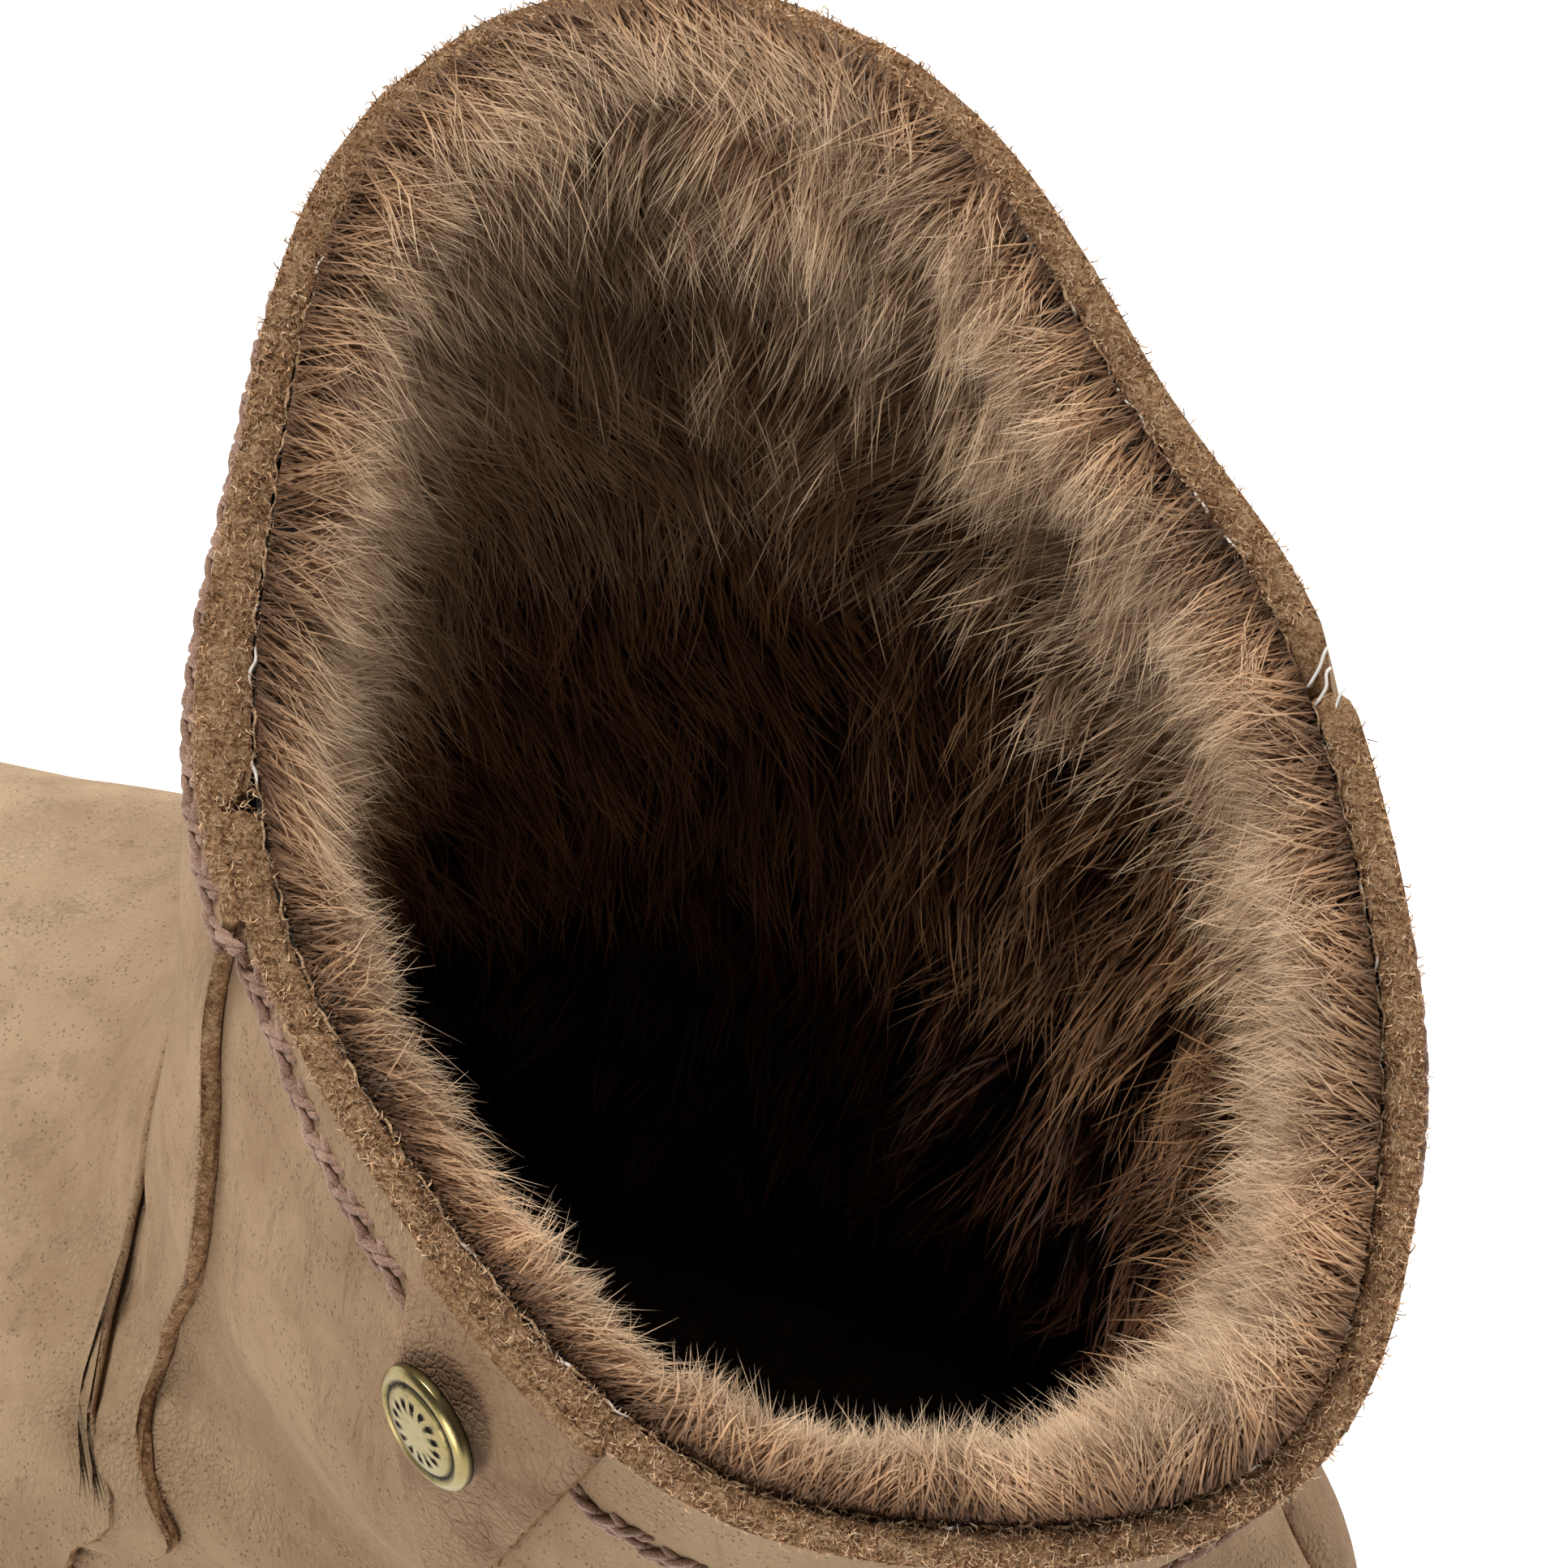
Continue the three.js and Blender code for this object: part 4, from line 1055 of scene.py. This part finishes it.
class BOOT_OT_fur(bpy.types.Operator):
    """Grows the long fur in clumps, from the crown at the collar down into the foot"""

    bl_idname = "boot.fur"
    bl_label = "Fur"

    def execute(self, context):
        look = context.scene.boot_look
        pale = fur_finish("long_fur", eye(92, 60, 36), eye(200, 160, 122), eye(246, 220, 186))
        # The shaft fur, and the deep fur of the ankle and the foot, are darker copies of the collar fur:
        # painted shade, darker the deeper they lie inside the boot.
        middle = fur_finish("shaft_fur_painted_shade", eye(54, 33, 19), eye(132, 94, 62), eye(192, 150, 110))
        deep = fur_finish("deep_fur_painted_shade", eye(30, 16, 8), eye(78, 48, 28), eye(128, 84, 54))
        n = look.clump_strands
        size, width = look.fur_length, look.strand_width
        bands = (
            ("fur_crown", pale, 1650, 12.8, 12.99, n + 14, size * 0.68, 0.05, 0.35, width * 0.75, 0.4, 2),
            ("fur_collar_upper", pale, 1500, 12.25, 12.9, n + 14, size, -0.3, 0.9, width * 0.8, 0.8, 2),
            ("fur_collar_lower", pale, 900, 11.3, 12.35, n, size * 1.1, -0.5, 1.1, width, 1.2, 3),
            ("fur_shaft", middle, 850, 9.2, 11.5, n - 2, size * 1.1, -0.6, 1.2, width * 1.2, 1.4, 3),
            ("fur_ankle", deep, 520, 6.0, 9.4, n - 6, size, -0.5, 1.0, width * 1.6, 1.6, 3),
            ("fur_foot", deep, 380, 1.8, 6.2, n - 8, size * 0.8, -0.3, 0.8, width * 2, 1.6, 3),
        )
        for number, band in enumerate(bands):
            name, finish, count, low, high, clump, length, rise, droop, wide, depth, stops = band
            v, angle = scatter(count, low, high, 40 + number)
            seed = 60 + number
            shape = (clump, length, rise, droop, wide, seed, 0.6, depth, stops)
            fur_strands(name, look, finish, v, angle, *shape)
        return {"FINISHED"}


class BOOT_OT_tab(bpy.types.Operator):
    """Hangs the pebbled leather tab from the collar on the outer side"""

    bl_idname = "boot.tab"
    bl_label = "Tab"

    def execute(self, context):
        look = context.scene.boot_look
        down = np.linspace(0, 1, 64)
        toe = np.interp(down, TAB_ROWS[:, 0], TAB_ROWS[:, 1])
        heel = np.interp(down, TAB_ROWS[:, 0], TAB_ROWS[:, 2])
        kernel = np.hanning(9) / np.hanning(9).sum()
        sides = [np.pad(side, 4, mode="reflect", reflect_type="odd") for side in (toe, heel)]
        toe, heel = (np.convolve(side, kernel, "valid") for side in sides)
        share = np.linspace(0, 1, 44)[None]
        across = mix(-toe[:, None], heel[:, None], share) * TAB_WIDTH / 2
        v, angle = tab_spot(across, down[:, None] * TAB_LENGTH)
        edge = np.minimum(share, 1 - share) * 20
        round_off = 0.35 * np.maximum(1 - edge, 0) ** 2
        cup = 0.5 * smooth(down[:, None], 0.6, 1.0)
        whole = smooth(down[:, None], 0.0, 0.4)
        outer = CLEAR + TAB_LEATHER * mix(0.35, 1, whole) - round_off + cup
        inner = np.full(v.shape, CLEAR) * whole + cup
        finishes = [tab_finish(look), raw_edge_finish()]
        tab = leather_sheet("tab_leather", v, angle, outer, inner, finishes, 11, 0.12)
        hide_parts("tab")
        return {"FINISHED"}


class BOOT_OT_button(bpy.types.Operator):
    """Makes the domed brass button with a ring groove and a ring of dimples, and seats it on the tab"""

    bl_idname = "boot.button"
    bl_label = "Button"

    def execute(self, context):
        look = context.scene.boot_look
        shut_loose()
        radius, rim = BUTTON_RADIUS, 1.1
        bpy.ops.mesh.primitive_cylinder_add(vertices=72, radius=radius, depth=rim, location=(0, 0, rim / 2))
        cap = context.object
        cap.name = "button_cap"
        bpy.ops.object.transform_apply(location=True, rotation=False, scale=False)
        bpy.ops.object.mode_set(mode="EDIT")
        bpy.ops.mesh.select_mode(type="FACE")
        bpy.ops.mesh.select_all(action="DESELECT")
        bpy.ops.object.mode_set(mode="OBJECT")
        for face in cap.data.polygons:
            face.select = face.normal.z > 0.9
        bpy.ops.object.mode_set(mode="EDIT")
        profile = (
            (0.35, 0.42), (0.45, 0.28), (0.3, -0.3), (0.35, 0.0), (0.3, 0.32),
            (0.6, 0.2), (0.9, 0.18), (0.8, 0.08), (0.8, 0.02),
        )
        for inset, lift in profile:
            bpy.ops.mesh.inset(thickness=inset, depth=0)
            bpy.ops.transform.translate(value=(0, 0, lift))
        bpy.ops.object.mode_set(mode="OBJECT")
        bevel = cap.modifiers.new("edges", "BEVEL")
        bevel.width = 0.09
        bevel.segments = 2
        bevel.angle_limit = math.radians(24)
        bpy.ops.object.modifier_apply(modifier=bevel.name)
        for place in range(14):
            turn = place * 2 * math.pi / 14
            spot = (2.75 * math.cos(turn), 2.75 * math.sin(turn), 2.42)
            bpy.ops.mesh.primitive_uv_sphere_add(segments=16, ring_count=8, radius=0.42, location=spot)
            dent = context.object
            shut_loose()
            context.view_layer.objects.active = cap
            cap.select_set(True)
            cut = cap.modifiers.new("dimple", "BOOLEAN")
            cut.object = dent
            cut.operation = "DIFFERENCE"
            bpy.ops.object.modifier_apply(modifier=cut.name)
            bpy.data.objects.remove(dent)
        points = np.array([v.co for v in cap.data.vertices])
        round_at = np.hypot(points[:, 0], points[:, 1])
        groove = np.exp(-(((round_at - 4.35) / 0.3) ** 2))
        turn = np.arctan2(points[:, 1], points[:, 0])
        near = np.abs((turn * 14 / (2 * math.pi) + 0.5) % 1 - 0.5) * 2 * math.pi * 2.75 / 14
        dimple = ((np.hypot(near, round_at - 2.75) < 0.4) & (points[:, 2] > 1)).astype(float)
        recess = np.clip(groove + dimple + (points[:, 2] < 0.2), 0, 1)
        layer = cap.data.attributes.new("recess", "FLOAT", "POINT")
        layer.data.foreach_set("value", recess.astype(np.float32))
        v, angle = tab_spot(np.array(BUTTON_SHIFT), np.array(BUTTON_DROP))
        normal = outward(v, angle)
        seat = skin(v, angle) + normal * (CLEAR + TAB_LEATHER + 0.75)
        normal = unit(normal + 0.16 * np.array([0.96, 0.29, 0.0]))
        turned = Vector((0, 0, 1)).rotation_difference(Vector(normal)).to_matrix().to_4x4()
        flatter = Matrix.Diagonal((0.001, 0.001, 0.00075, 1))
        matrix = Matrix.Translation(Vector(metres(seat))) @ turned @ flatter
        cap.data.transform(matrix)
        cap.data.materials.append(brass_finish(look))
        shut_loose()
        cap.select_set(True)
        context.view_layer.objects.active = cap
        bpy.ops.object.shade_smooth_by_angle(angle=math.radians(35))
        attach(cap, "root")
        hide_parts("button")
        return {"FINISHED"}


class BOOT_OT_sole(bpy.types.Operator):
    """Makes the moulded sole with its side groove, rounded edges and tread"""

    bl_idname = "boot.sole"
    bl_label = "Sole"

    def execute(self, context):
        look = context.scene.boot_look
        angle = np.linspace(0, 2 * math.pi, 200, endpoint=False)
        edge = skin(0.0, angle)
        away = unit(outward(0.0, angle) * (1, 1, 0))

        def ring(grow, height):
            points = edge + away * grow
            return np.column_stack([points[:, :2], height(points[:, 0])])

        grow = SOLE_GROW
        rings = [ring(grow - 1.6, sole_bottom)]
        for share in (0.25, 0.5, 0.75, 1.0):
            turn = share * math.pi / 2
            out = grow - 1.6 + 1.5 * math.sin(turn)
            rings.append(ring(out, lambda x, t=turn: sole_bottom(x) + 1.5 * (1 - math.cos(t))))
        steps = (
            (0.3, 0), (0.47, 0), (0.5, 0.6), (0.53, 1.2), (0.57, 1.2),
            (0.6, 0.6), (0.63, 0), (0.8, 0), (0.93, 0),
        )
        for level, dent in steps:
            rings.append(ring(grow - 0.1 - dent, lambda x, at=level: mix(sole_bottom(x), sole_top(x), at)))
        rings.append(ring(grow - 0.35, lambda x: sole_top(x) - 0.3))
        rings.append(ring(grow - 0.8, sole_top))
        columns = len(angle)
        points = np.vstack(rings)
        sides = grid_faces(len(rings), columns, closed=True)
        middle = columns // 2
        last = (len(rings) - 1) * columns
        strips = []
        for i in range(middle):
            a, b = i, i + 1
            c, d = (columns - i - 1) % columns, (columns - i) % columns
            strips.append([a, d, c, b] if i else [a, c, c, b])
        caps = [[p for n, p in enumerate(f) if p not in f[:n]] for f in strips]
        quads = np.array([f for f in caps if len(f) == 4])
        tris = np.array([f for f in caps if len(f) == 3])
        faces = [np.vstack([sides, quads, quads[:, ::-1] + last]), np.vstack([tris, tris[:, ::-1] + last])]
        sole = mesh_piece("sole", metres(points), faces, [rubber_finish(look)])
        starts = ((0.07, ARCH_SPAN[0]), (ARCH_SPAN[1], SPRING_START))
        for low, high in starts:
            for number in range(int((high - low) * FOOT_LENGTH // TREAD_PITCH)):
                place = metres((low * FOOT_LENGTH + (number + 0.5) * TREAD_PITCH, 0, 0))
                shut_loose()
                bpy.ops.mesh.primitive_cube_add(size=1, location=place)
                groove = context.object
                groove.scale = (TREAD_GROOVE * 0.001, 0.2, 2 * TREAD_DEPTH * 0.001)
                bpy.ops.object.transform_apply(location=True, rotation=False, scale=True)
                shut_loose()
                context.view_layer.objects.active = sole
                sole.select_set(True)
                cut = sole.modifiers.new("tread", "BOOLEAN")
                cut.object = groove
                cut.operation = "DIFFERENCE"
                bpy.ops.object.modifier_apply(modifier=cut.name)
                bpy.data.objects.remove(groove)
        bpy.ops.object.shade_smooth_by_angle(angle=math.radians(40))
        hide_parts("outsole")
        return {"FINISHED"}


class BOOT_OT_stage(bpy.types.Operator):
    """Sets a plain pale floor and soft studio light"""

    bl_idname = "boot.stage"
    bl_label = "Stage"

    def execute(self, context):
        shut_loose()
        bpy.ops.mesh.primitive_plane_add(size=8, location=(0, 0, -0.0005))
        floor = context.object
        floor.name = "floor"
        floor.data.materials.append(floor_finish())
        world = bpy.data.worlds.new("studio")
        world.use_nodes = True
        world.node_tree.nodes["Background"].inputs["Color"].default_value = (1, 1, 1, 1)
        world.node_tree.nodes["Background"].inputs["Strength"].default_value = 0.1
        context.scene.world = world
        context.scene.view_settings.view_transform = "Standard"
        lamps = (
            ("key_light", (0.8, -0.45, 1.7), 0.5, 31),
            ("fill_light", (0.5, 1.3, 0.22), 0.5, 6.5),
            ("back_light", (-0.95, -0.75, 0.6), 0.6, 9),
        )
        centre = Vector(metres(LIT_POINT))
        for name, place, size, power_watts in lamps:
            data = bpy.data.lights.new(name, "AREA")
            data.energy = power_watts
            data.size = size
            lamp = bpy.data.objects.new(name, data)
            context.scene.collection.objects.link(lamp)
            lamp.location = place
            lamp.rotation_euler = (Vector(place) - centre).to_track_quat("Z", "Y").to_euler()
        return {"FINISHED"}


class BOOT_PT_panel(bpy.types.Panel):
    bl_label = "Sheepskin boot"
    bl_idname = "BOOT_PT_panel"
    bl_space_type = "VIEW_3D"
    bl_region_type = "UI"
    bl_category = "Boot"

    def draw(self, context):
        for name in BootLook.__annotations__:
            self.layout.prop(context.scene.boot_look, name)
        for piece in PIECES:
            self.layout.operator(piece.bl_idname)


PIECES = (
    BOOT_OT_camera, BOOT_OT_upper, BOOT_OT_edge_nap, BOOT_OT_stitching, BOOT_OT_fleece, BOOT_OT_fur,
    BOOT_OT_tab, BOOT_OT_button, BOOT_OT_sole, BOOT_OT_stage,
)


def register():
    for kind in (BootLook, *PIECES, BOOT_PT_panel):
        bpy.utils.register_class(kind)
    bpy.types.Scene.boot_look = PointerProperty(type=BootLook)


def unregister():
    del bpy.types.Scene.boot_look
    for kind in (BOOT_PT_panel, *reversed(PIECES), BootLook):
        bpy.utils.unregister_class(kind)


def main():
    register()
    for piece in PIECES:
        group, name = piece.bl_idname.split(".")
        getattr(getattr(bpy.ops, group), name)()


if __name__ == "__main__":
    main()
